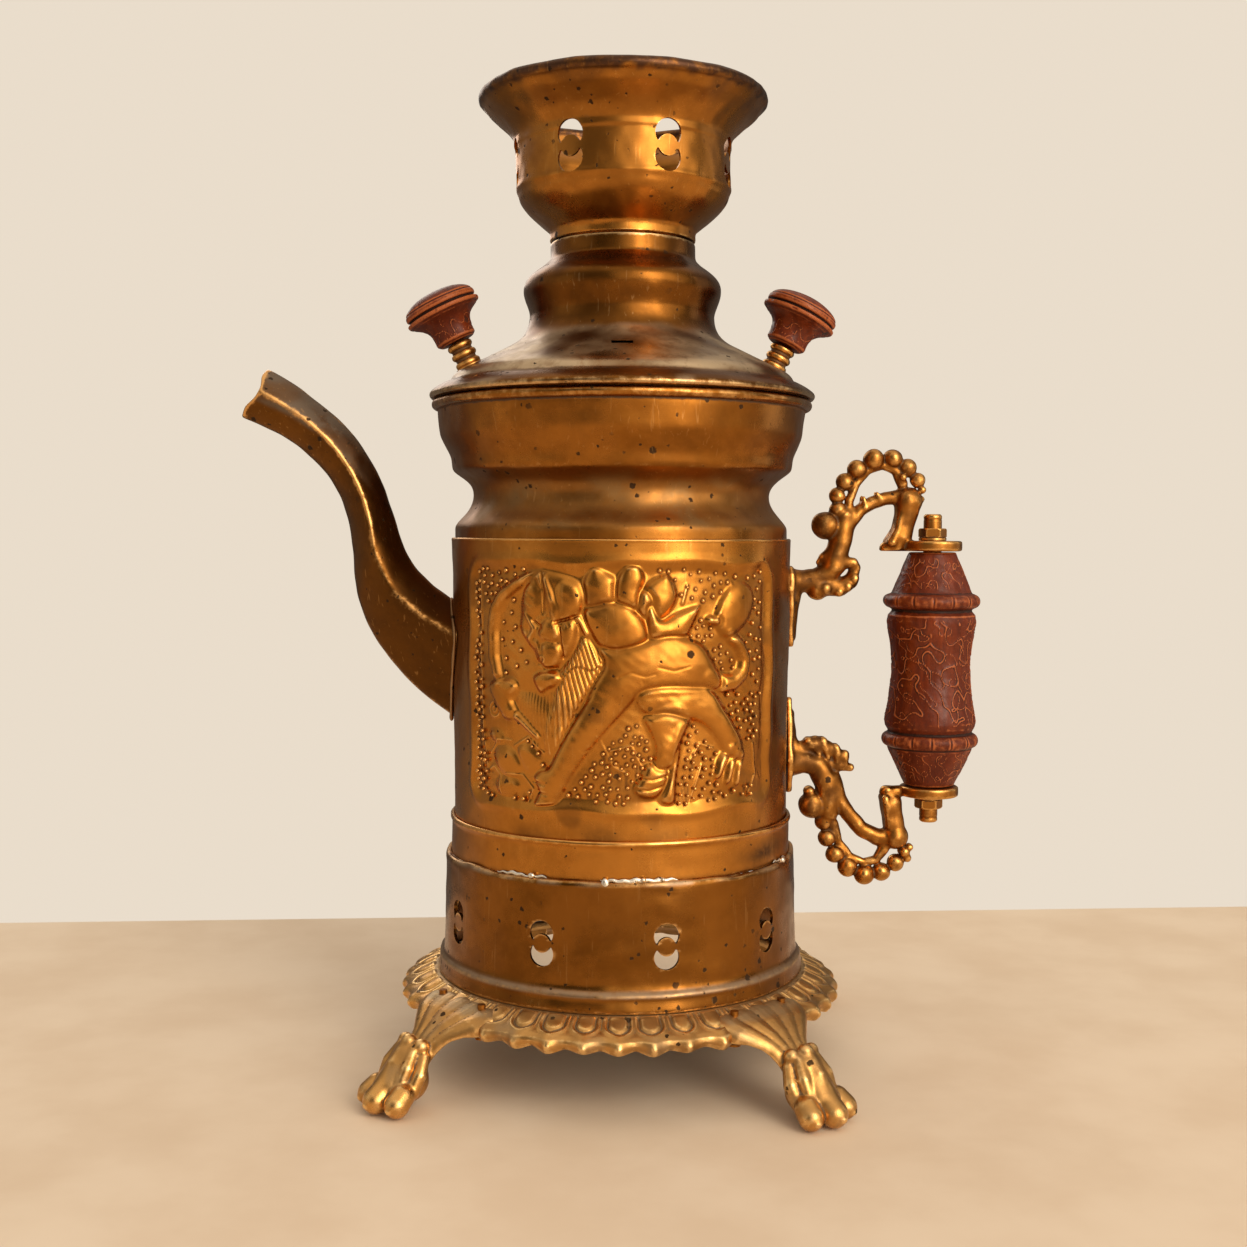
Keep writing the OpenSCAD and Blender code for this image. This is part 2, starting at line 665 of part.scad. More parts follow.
module knob_stem(side) color(cast_brass) at_knob(side) {
    ring_pitch = stem_len / 3;
    union() {
        translate([0, 0, -9]) cylinder(r = stem_bolt_r, h = 9 + stem_len + knob_h * 0.5, $fn = 24);
        cylinder(r = stem_ring_r + 0.6, h = 0.8, $fn = 32);
        rotate_extrude($fn = 32) polygon(concat([[stem_bolt_r - 0.5, 0]],
            [for (i = [0:2], q = arc([stem_ring_r - 1.5, (i + 0.5) * ring_pitch], 1.5, -80, 80, 6)) q],
            [[stem_bolt_r - 0.5, stem_len]]));
    }
}

function knob_outline() = concat([[stem_bolt_r + 0.05, 0], [knob_r * 0.46, 0], [knob_r * 0.54, 1.2]],
    curve([[knob_r * 0.54, 1.6], [knob_r * 0.5, 7], [knob_r * 0.62, 10], [knob_r * 0.96, 12]]),
    [[knob_r, 12.6], [knob_r, 13.8], [knob_r * 0.9, 14.3], [knob_r * 0.88, 14.9], [knob_r * 0.96, 15.2]],
    curve([[knob_r * 0.97, 16], [knob_r * 0.97, 20], [knob_r * 0.6, knob_h], [0.01, knob_h]], 10),
    [[0, knob_h], [0, knob_h * 0.5 + 0.2], [stem_bolt_r + 0.05, knob_h * 0.5 + 0.2]]);

module knob(side) color(dark_wood) at_knob(side) translate([0, 0, stem_len])
    rotate_extrude($fn = 48) polygon(knob_outline());

module knob_nut(side) color(cast_brass) at_knob(side) difference() {
    translate([0, 0, -sheet - 3.9]) cylinder(r = stem_bolt_r * 2, h = 3.6, $fn = 6);
    translate([0, 0, -sheet - 6]) cylinder(r = stem_bolt_r, h = 8, $fn = 24);
}

// ---- Crown ----

function crown_outline() = concat(
    [[throat_r, crown_z], [throat_r + 0.3, crown_z + 0.3], [throat_r + 0.1, crown_z + 2.5]],
    curve([[throat_r + 0.4, crown_z + 4.4], [throat_r + 4, crown_z + 8], [crown_wall_r - 2, crown_z + 13.5],
        [crown_wall_r - 1, crown_z + 18.5]]),
    [[crown_wall_r - 0.8, crown_z + 19.6], [crown_wall_r - 0.1, crown_z + 20.6],
        [crown_wall_r, crown_z + 38]],
    curve([[crown_wall_r + 0.1, crown_z + 42], [crown_wall_r + 2, crown_z + 46],
        [crown_r - 8, crown_z + 49.5],
        [crown_r - 2.8, crown_top - 6]]),
    [[crown_r - crown_bead, crown_top - 3.6]]);

module crown_shell() color(brass) difference() {
    union() {
        shell(crown_outline());
        bead_ring(crown_r, crown_top - crown_bead, crown_bead);
    }
    for (i = [0:crown_figures - 1]) rotate([0, 0, crown_first + i * 360 / crown_figures])
        figure(crown_lobe, crown_wall_r, crown_z + 31);
}

module crown_spigot() color(brass) union() {
    tube(spigot_r, spigot_in, crown_z - spigot_len, spigot_len + 2);
    tube(throat_in, spigot_in, crown_z + 0.8, 1.2);
}

// ---- Grip and its brackets ----

module handle_rod() color(cast_brass) translate([grip_x, 0, rod_low])
    cylinder(r = rod_r, h = rod_high - rod_low, $fn = 32);

module nut(z) color(cast_brass) translate([grip_x, 0, z]) difference() {
    union() {
        cylinder(r = rod_r * 1.55, h = nut_t, $fn = 6);
        cylinder(r = rod_r * 1.5, h = nut_t * 0.3, $fn = 32);
    }
    translate([0, 0, -cut]) cylinder(r = rod_r, h = nut_t + 2 * cut, $fn = 32);
}

function grip_outline() = let(h = grip_len, bore = rod_r + run_gap) concat(
    [[bore, 0], [10.4, 0], [10.8, 0.6], [18.2, 16.2]],
    arc([grip_r - 3, 19.6], 3, -80, 80, 6),
    [[18, 23.2], [19.2, 25.4]],
    curve([[19.5, 27.4], [19.5, 31], [grip_waist_r, 38], [grip_waist_r, 51]]),
    curve([[grip_waist_r, 51], [grip_waist_r, 60], [18.9, 66], [18.9, 72.5]]),
    [[18.6, h - 26.6], [17.2, h - 25]],
    arc([grip_r - 3, h - 20.8], 3, -80, 80, 6),
    [[17, h - 17.2], [10.2, h - 0.6], [9.8, h], [bore, h]]);

module handle_grip() color(dark_wood) translate([grip_x, 0, grip_base])
    rotate_extrude($fn = 64) polygon(grip_outline());

module eye(z) {
    translate([grip_x, 0, z]) cylinder(r = eye_r, h = eye_t, $fn = 48);
}

module eye_bore(z) {
    translate([grip_x, 0, z - cut]) cylinder(r = rod_r, h = eye_t + 2 * cut, $fn = 32);
}

// A rounded arm between two points of the plane y = 0
module arm(a, b, ra, rb) {
    hull() {
        translate([a[0], 0, a[1]]) sphere(r = ra, $fn = 20);
        translate([b[0], 0, b[1]]) sphere(r = rb, $fn = 20);
    }
}

// A row of touching beads along a half ring round c
module bead_row(c, r, a0, a1, n) {
    for (i = [0:n - 1]) let(a = a0 + (a1 - a0) * i / (n - 1))
        translate([c[0] + r[0] * cos(a), 0, c[1] + r[1] * sin(a)]) sphere(r = bead_r, $fn = 24);
}

module ball_end(p) {
    translate([p[0], 0, p[1]]) sphere(r = ball_r, $fn = 32);
}

// A wall plate that follows the barrel between two heights
module wall_plate(z0, z1, w, t) {
    intersection() {
        translate([barrel_foot_r - 4, -w / 2, z0]) cube([4 + t + barrel_taper, w, z1 - z0]);
        barrel_body(t);
    }
}

upper_eye_z = grip_top + eye_gap;
lower_eye_z = grip_base - eye_gap - eye_t;
lower_face_z = lower_eye_z + eye_t;

// The brackets' places are given for a grip that stands this far from the barrel, and follow it in step
plan_span = 62.2;
plan = grip_out / plan_span;

// Places on the brackets, counted from the grip's axis and outwards from the eye's face at the grip
function above(dx, dz) = [grip_x + dx * plan, upper_eye_z + dz * plan];
function below(dx, dz) = [grip_x + dx * plan, lower_face_z - dz * plan];

module bracket_upper() color(cast_brass) difference() {
    knee = above(-49.2, -15.5);
    trunk = above(-38, 2);
    fork = above(-37.5, 14);
    crook = above(-26, 22);
    post = above(-11.5, 21.5);
    union() {
        wall_plate(above(0, -40.5)[1], above(0, -5.5)[1], plate_w, plate_t);
        arm(above(-62.2, -9.5), knee, arm_r + 0.6, arm_r + 1.8);
        arm(knee, trunk, arm_r + 1.8, arm_r + 1.2);
        arm(trunk, fork, arm_r + 1.2, arm_r + 0.6);
        arm(fork, crook, arm_r, arm_r - 0.6);
        arm(crook, post, arm_r - 0.6, arm_r - 0.4);
        arm(post, above(-17, eye_t / 2 + 1), arm_r + 0.4, eye_t / 2 + 1);
        hull() {
            eye(upper_eye_z);
            translate([above(-19, 0)[0], -arm_r, upper_eye_z]) cube([2, 2 * arm_r, eye_t]);
        }
        ball_end(above(-45.6, 11));
        ball_end(post);
        bead_row(above(-25.5, 21.5), [17.6, 18.6] * plan, 190, 12, 11);
    }
    eye_bore(upper_eye_z);
    barrel_body();
    bracket_rivet_holes();
}

module bracket_lower() color(cast_brass) difference() {
    knee = below(-50.2, -18);
    trunk = below(-44, 0);
    fork = below(-38, 13);
    post = below(-14.5, 21.5);
    union() {
        wall_plate(below(0, -4)[1], below(0, -39)[1], plate_w, plate_t);
        arm(below(-62.2, -16), knee, arm_r + 1.4, arm_r + 1.4);
        arm(knee, below(-34, -10), arm_r + 1.2, 2.2);
        arm(knee, trunk, arm_r + 1.2, arm_r + 0.6);
        arm(trunk, fork, arm_r + 0.6, arm_r);
        arm(fork, below(-21, 24), arm_r, arm_r - 0.2);
        arm(post, below(-17, eye_t / 2 + 1), arm_r + 0.4, eye_t / 2 + 1);
        hull() {
            eye(lower_eye_z);
            translate([below(-19, 0)[0], -arm_r, lower_eye_z]) cube([2, 2 * arm_r, eye_t]);
        }
        ball_end(below(-50.5, 8));
        ball_end(post);
        bead_row(below(-28, 20), [17.2, 18.6] * plan, 172, 338, 10);
    }
    eye_bore(lower_eye_z);
    barrel_body();
    bracket_rivet_holes();
}

rivet_heights = [above(0, -34)[1], above(0, -12)[1], below(0, -10)[1], below(0, -32)[1]];
rivet_in = barrel_foot_r - sheet - 0.2;

module bracket_rivet_holes() {
    for (z = rivet_heights) translate([rivet_in - cut, 0, z]) rotate([0, 90, 0])
        cylinder(r = rivet_r, h = barrel_r + 2 - rivet_in + cut, $fn = 24);
}

module bracket_rivets() color(cast_brass) {
    head_h = 1.4;
    for (z = rivet_heights) translate([rivet_in - head_h, 0, z]) rotate([0, 90, 0]) {
        cylinder(r = rivet_r, h = barrel_r + 2 - rivet_in + head_h, $fn = 24);
        cylinder(r = rivet_r + 1.2, h = head_h, $fn = 24);
    }
}

barrel();
lower_band();
vessel_neck();
vessel_floor();
fire_tube();
fire_grate();
base_collar();
foot_ring();
paw(0);  // paw_front_left
paw(1);  // paw_front_right
paw(2);  // paw_rear_right
paw(3);  // paw_rear_left
foot_rivets();
spout();
bracket_upper();
bracket_lower();
bracket_rivets();
handle_rod();
nut(grip_top + eye_gap + eye_t);  // handle_nut_top
nut(lower_eye_z - nut_t);  // handle_nut_bottom
handle_grip();
lid_shell();
lid_skirt();
knob_stem(-1);  // knob_stem_left
knob_stem(1);  // knob_stem_right
knob(-1);  // knob_left
knob(1);  // knob_right
knob_nut(-1);  // knob_nut_left
knob_nut(1);  // knob_nut_right
crown_shell();
crown_spigot();
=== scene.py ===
import math

import bmesh
import bpy
import numpy as np
from mathutils import Matrix, Vector


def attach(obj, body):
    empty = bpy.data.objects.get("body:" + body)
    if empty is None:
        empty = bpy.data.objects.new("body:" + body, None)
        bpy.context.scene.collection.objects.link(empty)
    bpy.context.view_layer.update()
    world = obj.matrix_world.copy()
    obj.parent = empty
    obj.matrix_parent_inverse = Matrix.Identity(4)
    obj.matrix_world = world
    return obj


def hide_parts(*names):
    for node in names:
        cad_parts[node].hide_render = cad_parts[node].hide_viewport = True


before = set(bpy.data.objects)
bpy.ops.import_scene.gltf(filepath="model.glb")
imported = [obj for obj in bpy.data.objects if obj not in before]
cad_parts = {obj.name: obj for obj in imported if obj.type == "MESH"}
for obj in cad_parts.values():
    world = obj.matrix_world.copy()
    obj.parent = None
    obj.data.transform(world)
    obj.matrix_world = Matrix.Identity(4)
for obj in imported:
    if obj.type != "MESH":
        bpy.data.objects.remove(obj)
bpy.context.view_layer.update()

# Places are written in millimetres, and MM takes them to Blender's metres.
MM = 0.001
# Angles round the vessel are in degrees from the front, towards the grip.
PANEL_TURN = -4.0


# ---------------------------------------------------------------- shapes by numbers

def ease(low, high, x):
    """0 below low, 1 above high and smooth between them."""
    t = np.clip((x - low) / (high - low), 0, 1)
    return t * t * (3 - 2 * t)


def unevenness(points, wavelength, seed, waves=18):
    """Smooth bumps between about -1 and 1, the same on every run."""
    draw = np.random.default_rng(seed)
    ways = draw.normal(size=(waves, points.shape[-1]))
    ways /= np.linalg.norm(ways, axis=1, keepdims=True)
    ways *= draw.uniform(0.6, 1.5, (waves, 1)) * 2 * math.pi / wavelength
    return np.sin(points @ ways.T + draw.uniform(0, 2 * math.pi, waves)).sum(-1) / math.sqrt(waves)


def round_about(phi, r, z):
    """Points at the angle phi in degrees, the radius r and the height z."""
    a = np.radians(phi)
    return np.stack([r * np.sin(a), -r * np.cos(a), z + 0 * a], -1)


def arc(centre, r, start, end, n):
    """Points along an arc in n steps, between two angles in degrees."""
    a = np.radians(np.linspace(start, end, n + 1))
    return [(centre[0] + r * math.cos(t), centre[1] + r * math.sin(t)) for t in a]


def cubic(k, n=10):
    """Points along a cubic curve, without its last point."""
    t = np.linspace(0, 1, n, endpoint=False)[:, None]
    k = np.array(k, float)
    p = (1 - t) ** 3 * k[0] + 3 * t * (1 - t) ** 2 * k[1] + 3 * t * t * (1 - t) * k[2] + t ** 3 * k[3]
    return [tuple(q) for q in p]


def inset(outline, t):
    """An outline that is drawn upwards, moved inwards by t."""
    p = np.array(outline, float)
    d = np.gradient(p, axis=0)
    d /= np.linalg.norm(d, axis=1, keepdims=True)
    return [tuple(q) for q in p + t * np.stack([-d[:, 1], d[:, 0]], -1)]


def wall(outline, t):
    """The closed section of a sheet whose outer face is the outline."""
    return list(outline) + inset(outline, t)[::-1]


def dense(outline, step, rounds):
    """A closed outline with points no further apart than step, and its corners eased."""
    p = np.array(outline, float)
    made = []
    for a, b in zip(p, np.roll(p, -1, 0)):
        n = max(1, math.ceil(np.linalg.norm(b - a) / step))
        made += [a + (b - a) * i / n for i in range(n)]
    made = np.array(made)
    for _ in range(rounds):
        made = (np.roll(made, 1, 0) + 2 * made + np.roll(made, -1, 0)) / 4
    return made


def grid_faces(rows, columns, wrap_rows=True):
    """The faces between rows of points. The columns always close round."""
    i = np.arange(rows if wrap_rows else rows - 1)[:, None]
    j = np.arange(columns)[None, :]
    i2, j2 = (i + 1) % rows, (j + 1) % columns
    corner = [i * columns + j, i * columns + j2, i2 * columns + j2, i2 * columns + j]
    return np.stack([c + 0 * corner[0] for c in corner], -1).reshape(-1, 4).tolist()


def mesh_object(name, points, faces):
    """A mesh from points in millimetres, with its faces turned outwards."""
    mesh = bpy.data.meshes.new(name)
    mesh.from_pydata((np.asarray(points, float).reshape(-1, 3) * MM).tolist(), [], faces)
    work = bmesh.new()
    work.from_mesh(mesh)
    bmesh.ops.recalc_face_normals(work, faces=work.faces)
    work.to_mesh(mesh)
    work.free()
    thing = bpy.data.objects.new(name, mesh)
    bpy.context.scene.collection.objects.link(thing)
    return thing


def prism(name, near, far):
    """A closed block between two rims that have the same number of points."""
    n = len(near)
    sides = [[i, (i + 1) % n, n + (i + 1) % n, n + i] for i in range(n)]
    return mesh_object(name, np.concatenate([near, far]), [list(range(n)), list(range(n, 2 * n))] + sides)


def turned_places(line, angles):
    """The angle, radius and height of every point of a line that is turned through the angles."""
    r, z = line[:, :1] + 0 * angles, line[:, 1:] + 0 * angles
    return angles + 0 * r, r, z


def turned(name, outline, sides, step, shape=None, rounds=2):
    """A piece turned on the vessel's axis. shape(phi, r, z) gives each point's radius and height."""
    line = dense(outline, step, rounds)
    phi, r, z = turned_places(line, np.arange(sides) * 360.0 / sides)
    if shape:
        r, z = shape(phi, r, z)
    return mesh_object(name, round_about(phi, r, z), grid_faces(len(line), sides))


def dented(amount, seed, length=38):
    """A shape() that leaves the sheet slightly out of true, as hand work does."""
    def shape(phi, r, z):
        p = round_about(phi, r, z)
        return r + amount * (unevenness(p, length, seed) + 0.35 * unevenness(p, length / 3, seed + 1)), z
    return shape


def carve(thing, tools):
    """Cuts the tools, which touch nothing of each other, out of a piece."""
    for tool in tools:
        cut = thing.modifiers.new("cut", "BOOLEAN")
        cut.operation, cut.solver, cut.object = "DIFFERENCE", "MANIFOLD", tool
    settle(thing)
    for tool in tools:
        bpy.data.objects.remove(tool)


def settle(thing):
    """Applies a piece's modifiers."""
    graph = bpy.context.evaluated_depsgraph_get()
    done = bpy.data.meshes.new_from_object(thing.evaluated_get(graph))
    thing.modifiers.clear()
    thing.data = done


def join(name, things):
    """One piece made of several."""
    with bpy.context.temp_override(active_object=things[0], selected_editable_objects=things):
        bpy.ops.object.join()
    things[0].name = name
    return things[0]


# ---------------------------------------------------------------- cast pieces, from a field of distances

# How often a cast surface is smoothed.
CAST_ROUNDS = 2


def ball(p, centre, r):
    return np.linalg.norm(p - np.array(centre, float), axis=-1) - r


def egg(p, centre, radii):
    q = (p - np.array(centre, float)) / np.array(radii, float)
    return (np.linalg.norm(q, axis=-1) - 1) * min(radii)


def limb(p, a, b, ra, rb):
    """A round limb from a to b."""
    a, b = np.array(a, float), np.array(b, float)
    t = np.clip((p - a) @ (b - a) / ((b - a) @ (b - a)), 0, 1)
    return np.linalg.norm(p - a - t[..., None] * (b - a), axis=-1) - (ra + (rb - ra) * t)


def strand(p, *stops):
    """Limbs through stops, each a place and a radius: (x, y, z, r), or (x, z, r) in the middle plane."""
    found = None
    for a, b in zip(stops[:-1], stops[1:]):
        one = limb(p, *((c[0], 0, c[1]) if len(c) == 3 else c[:3] for c in (a, b)), a[-1], b[-1])
        found = one if found is None else np.minimum(found, one)
    return found


def folded(p, axis):
    """Places folded onto one side of the middle plane across an axis."""
    q = p.copy()
    q[:, axis] = np.abs(q[:, axis])
    return q


def melt(fields, k):
    """The fields joined, with a fillet of about k where they meet."""
    whole = fields[0]
    for one in fields[1:]:
        h = np.clip(0.5 + 0.5 * (whole - one) / k, 0, 1)
        whole = whole + (one - whole) * h - k * h * (1 - h)
    return whole


def cast(name, field, low, high, cell):
    """The surface where a field of distances is nothing, as a mesh of even quads."""
    axes = [np.arange(a, b + cell, cell) for a, b in zip(low, high)]
    spots = np.stack(np.meshgrid(*axes, indexing="ij"), -1)
    value = field(spots.reshape(-1, 3)).reshape(spots.shape[:3])
    size = np.array(value.shape) - 1
    total, count = np.zeros((*size, 3)), np.zeros(size)

    def shifted(offset):
        return value[tuple(slice(o, o + n) for o, n in zip(offset, size))]

    for axis in range(3):
        for first in (0, 1):
            for second in (0, 1):
                start = [first, second]
                start.insert(axis, 0)
                end = list(start)
                end[axis] = 1
                a, b = shifted(start), shifted(end)
                crossed = (a < 0) != (b < 0)
                share = np.where(crossed, a / np.where(crossed, a - b, 1), 0)
                spot = np.zeros((*size, 3)) + np.array(start)
                spot[..., axis] = share
                total += spot * crossed[..., None]
                count += crossed
    active = count > 0
    number = np.full(size, -1)
    number[active] = np.arange(active.sum())
    points = (np.argwhere(active) + total[active] / count[active][:, None]) * cell + np.array(low)
    faces = []
    for axis in range(3):
        inner = [slice(1, n) for n in size]
        inner[axis] = slice(0, size[axis])
        nxt = list(inner)
        nxt[axis] = slice(1, size[axis] + 1)
        crossed = (value[tuple(inner)] < 0) != (value[tuple(nxt)] < 0)
        at = np.argwhere(crossed) + np.array([s.start for s in inner])
        u, v = [k for k in range(3) if k != axis]
        quad = []
        for du, dv in ((-1, -1), (0, -1), (0, 0), (-1, 0)):
            q = at.copy()
            q[:, u] += du
            q[:, v] += dv
            quad.append(number[tuple(q.T)])
        faces.append(np.stack(quad, -1))
    faces = np.concatenate(faces)
    faces = faces[(faces >= 0).all(1)]
    edges = np.concatenate([faces[:, [0, 1]], faces[:, [1, 2]], faces[:, [2, 3]], faces[:, [3, 0]]])
    for _ in range(CAST_ROUNDS):
        points = 0.5 * points + 0.5 * neighbour_mean(points, edges)
    return mesh_object(name, points, faces.tolist())


def neighbour_mean(values, edges):
    """For each vertex, the mean of the values of its neighbours."""
    n = len(values)
    flat = values.reshape(n, -1)
    a, b = np.concatenate([edges[:, 0], edges[:, 1]]), np.concatenate([edges[:, 1], edges[:, 0]])
    held = np.maximum(np.bincount(a, minlength=n), 1)
    total = np.stack([np.bincount(a, flat[b, c], minlength=n) for c in range(flat.shape[1])], -1)
    return (total / held[:, None]).reshape(values.shape)


def balls(name, spots):
    """Small round beads, each given by its place and radius."""
    work = bmesh.new()
    bmesh.ops.create_icosphere(work, subdivisions=2, radius=1.0)
    unit = np.array([v.co for v in work.verts])
    faces = np.array([[v.index for v in f.verts] for f in work.faces])
    work.free()
    points = np.concatenate([np.array(spot) + unit * size for spot, size in spots])
    count = len(unit)
    return mesh_object(name, points, np.concatenate([faces + k * count for k in range(len(spots))]).tolist())


# ---------------------------------------------------------------- finishing a piece

def points_of(thing):
    """A piece's vertices in millimetres."""
    co = np.zeros(len(thing.data.vertices) * 3)
    thing.data.vertices.foreach_get("co", co)
    return co.reshape(-1, 3) / MM


def note(thing, name, values):
    """Keeps one value for each vertex, for the materials."""
    layer = thing.data.attributes.new(name, "FLOAT", "POINT")
    layer.data.foreach_set("value", np.asarray(values, np.float32))


def note_bend(thing, rounds):
    """Keeps how hollow (above 0) or how proud (below 0) the surface is at each vertex, as 1/radius in mm."""
    mesh = thing.data
    n = len(mesh.vertices)
    co, normal = points_of(thing), np.zeros(n * 3)
    mesh.vertices.foreach_get("normal", normal)
    normal = normal.reshape(-1, 3)
    edges = np.zeros(len(mesh.edges) * 2, int)
    mesh.edges.foreach_get("vertices", edges)
    edges = edges.reshape(-1, 2)
    a, b = np.concatenate([edges[:, 0], edges[:, 1]]), np.concatenate([edges[:, 1], edges[:, 0]])
    d = co[b] - co[a]
    lift = (d * normal[a]).sum(1) / np.maximum((d * d).sum(1), 0.01)
    bend = 2 * np.bincount(a, lift, minlength=n) / np.maximum(np.bincount(a, minlength=n), 1)
    for _ in range(rounds):
        bend = 0.4 * bend + 0.6 * neighbour_mean(bend, edges)
    note(thing, "bend", bend)


def dress(thing, material, body, stands_for=(), bend_rounds=2, stain_and_painted_light=None, crease=40):
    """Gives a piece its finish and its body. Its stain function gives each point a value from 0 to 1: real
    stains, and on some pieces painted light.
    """
    mesh = thing.data
    mesh.materials.clear()
    mesh.materials.append(material)
    mesh.polygons.foreach_set("use_smooth", np.ones(len(mesh.polygons), bool))
    mesh.set_sharp_from_angle(angle=math.radians(crease))
    note_bend(thing, bend_rounds)
    # The stain values: real stains, and on some pieces painted shade and a painted sheen.
    stained_and_painted = np.clip(stain_and_painted_light(points_of(thing)), 0, 1) if stain_and_painted_light else np.zeros(len(mesh.vertices))
    note(thing, "stain_and_painted_light", stained_and_painted)
    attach(thing, body)
    if stands_for:
        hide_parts(*stands_for)
    return thing


# ---------------------------------------------------------------- shader groups

class Board:
    """A node tree that is filled by calls."""

    def __init__(self, tree):
        self.tree = tree

    def add(self, kind, inputs=None, **settings):
        node = self.tree.nodes.new(kind if kind.startswith("Node") else "ShaderNode" + kind)
        for key, value in settings.items():
            setattr(node, key, value)
        for key, value in (inputs or {}).items():
            self.feed(node.inputs[key], value)
        return node

    def feed(self, socket, value):
        if isinstance(value, bpy.types.NodeSocket):
            self.tree.links.new(value, socket)
        else:
            socket.default_value = (*value, 1.0) if socket.type == "RGBA" else value

    def maths(self, operation, a, b, clamp=False):
        return self.add("Math", {0: a, 1: b}, operation=operation, use_clamp=clamp).outputs[0]

    def span(self, value, low, high, to_low=0.0, to_high=1.0):
        """The value's way from low to high, eased, as a number from to_low to to_high."""
        return self.add("MapRange", {"Value": value, "From Min": low, "From Max": high, "To Min": to_low,
                                     "To Max": to_high}, interpolation_type="SMOOTHSTEP").outputs["Result"]

    def mix(self, share, a, b):
        """From the colour a to the colour b by a share."""
        node = self.add("Mix", data_type="RGBA")
        for socket, value in ((node.inputs[0], share), (node.inputs[6], a), (node.inputs[7], b)):
            self.feed(socket, value)
        return node.outputs[2]

    def noise(self, place, scale, detail, rough=0.55, warp=0.0):
        return self.add("TexNoise", {"Vector": place, "Scale": scale, "Detail": detail, "Roughness": rough,
                                     "Distortion": warp}).outputs["Fac"]

    def stretched(self, place, along):
        return self.add("VectorMath", {0: place, 1: along}, operation="MULTIPLY").outputs[0]


def group(name, inputs, outputs, fill):
    """A node group with named sockets. fill(board, inputs) gives its outputs."""
    tree = bpy.data.node_groups.new(name, "ShaderNodeTree")
    for label, kind, value in inputs:
        socket = tree.interface.new_socket(name=label, in_out="INPUT", socket_type="NodeSocket" + kind)
        if value is not None:
            socket.default_value = value
    for label, kind in outputs:
        tree.interface.new_socket(name=label, in_out="OUTPUT", socket_type="NodeSocket" + kind)
    board = Board(tree)
    entry, leave = board.add("NodeGroupInput"), board.add("NodeGroupOutput")
    for (label, _), value in zip(outputs, fill(board, entry.outputs)):
        board.feed(leave.inputs[label], value)
    return tree


def fill_tarnish(b, i):
    """Broad clouds of tarnish with a finer break-up."""
    broad = b.noise(i["Place"], i["Scale"], 6.0, 0.6, 0.4)
    fine = b.noise(i["Place"], b.maths("MULTIPLY", i["Scale"], 6.0), 5.0, 0.65)
    both = b.maths("ADD", b.maths("MULTIPLY", broad, 0.72), b.maths("MULTIPLY", fine, 0.28))
    return [b.span(both, i["Low"], i["High"])]


def fill_pits(b, i):
    """Small dark specks of uneven size and outline, gathered in patches."""
    shake = b.add("TexNoise", {"Vector": i["Place"], "Scale": 800.0, "Detail": 2.0}).outputs["Color"]
    shaken = b.add("VectorMath", {0: shake, 1: (0.0016, 0.0016, 0.0016), 2: i["Place"]},
                   operation="MULTIPLY_ADD").outputs[0]
    cells = b.add("TexVoronoi", {"Vector": shaken, "Scale": i["Scale"], "Randomness": 1.0})
    lot = b.noise(cells.outputs["Position"], 900.0, 0.0)
    size = b.span(lot, b.maths("SUBTRACT", 1.0, i["Share"]), 0.8, 0.05, 0.40)
    spot = b.span(b.maths("SUBTRACT", size, cells.outputs["Distance"]), 0.06, 0.14)
    patchy = b.span(b.noise(i["Place"], b.maths("MULTIPLY", i["Scale"], 0.12), 2.0), 0.38, 0.5, 0.1, 1.0)
    mask = b.maths("MULTIPLY", spot, patchy)
    return [mask, b.maths("MULTIPLY", mask, -1.0)]


def fill_hairlines(b, i):
    """Spinning lines round the piece and slanting scratches."""
    rings = b.noise(b.stretched(i["Place"], (6.0, 6.0, 900.0)), 1.0, 3.0, 0.7)
    slant = b.noise(b.stretched(i["Place"], (700.0, 700.0, 40.0)), 1.0, 2.0, 0.6, 0.6)
    scratch = b.span(slant, 0.64, 0.72)
    lines = b.maths("MULTIPLY", rings, i["Rings"])
    return [b.maths("SUBTRACT", lines, b.maths("MULTIPLY", scratch, i["Scratches"])), scratch]


def fill_wear(b, i):
    """Where edges are rubbed bright, and where hollows are darkened as grime and painted shade."""
    bend = b.add("Attribute", attribute_name="bend").outputs["Fac"]
    broken = b.span(b.noise(i["Place"], i["Scale"], 5.0, 0.7), 0.3, 0.7, -0.5, 0.5)
    proud = b.maths("ADD", b.maths("MULTIPLY", bend, -1.0), b.maths("MULTIPLY", broken, i["Edge"]))
    hollow = b.maths("ADD", bend, b.maths("MULTIPLY", broken, i["Hollow"]))
    worn = b.span(proud, b.maths("MULTIPLY", i["Edge"], 0.6), b.maths("MULTIPLY", i["Edge"], 2.0))
    # Hollows found by their bend: grime, and painted shade where shade would fall.
    hollow_grime_and_shade = b.span(hollow, b.maths("MULTIPLY", i["Hollow"], 0.5), b.maths("MULTIPLY", i["Hollow"], 1.8))
    return [worn, hollow_grime_and_shade]


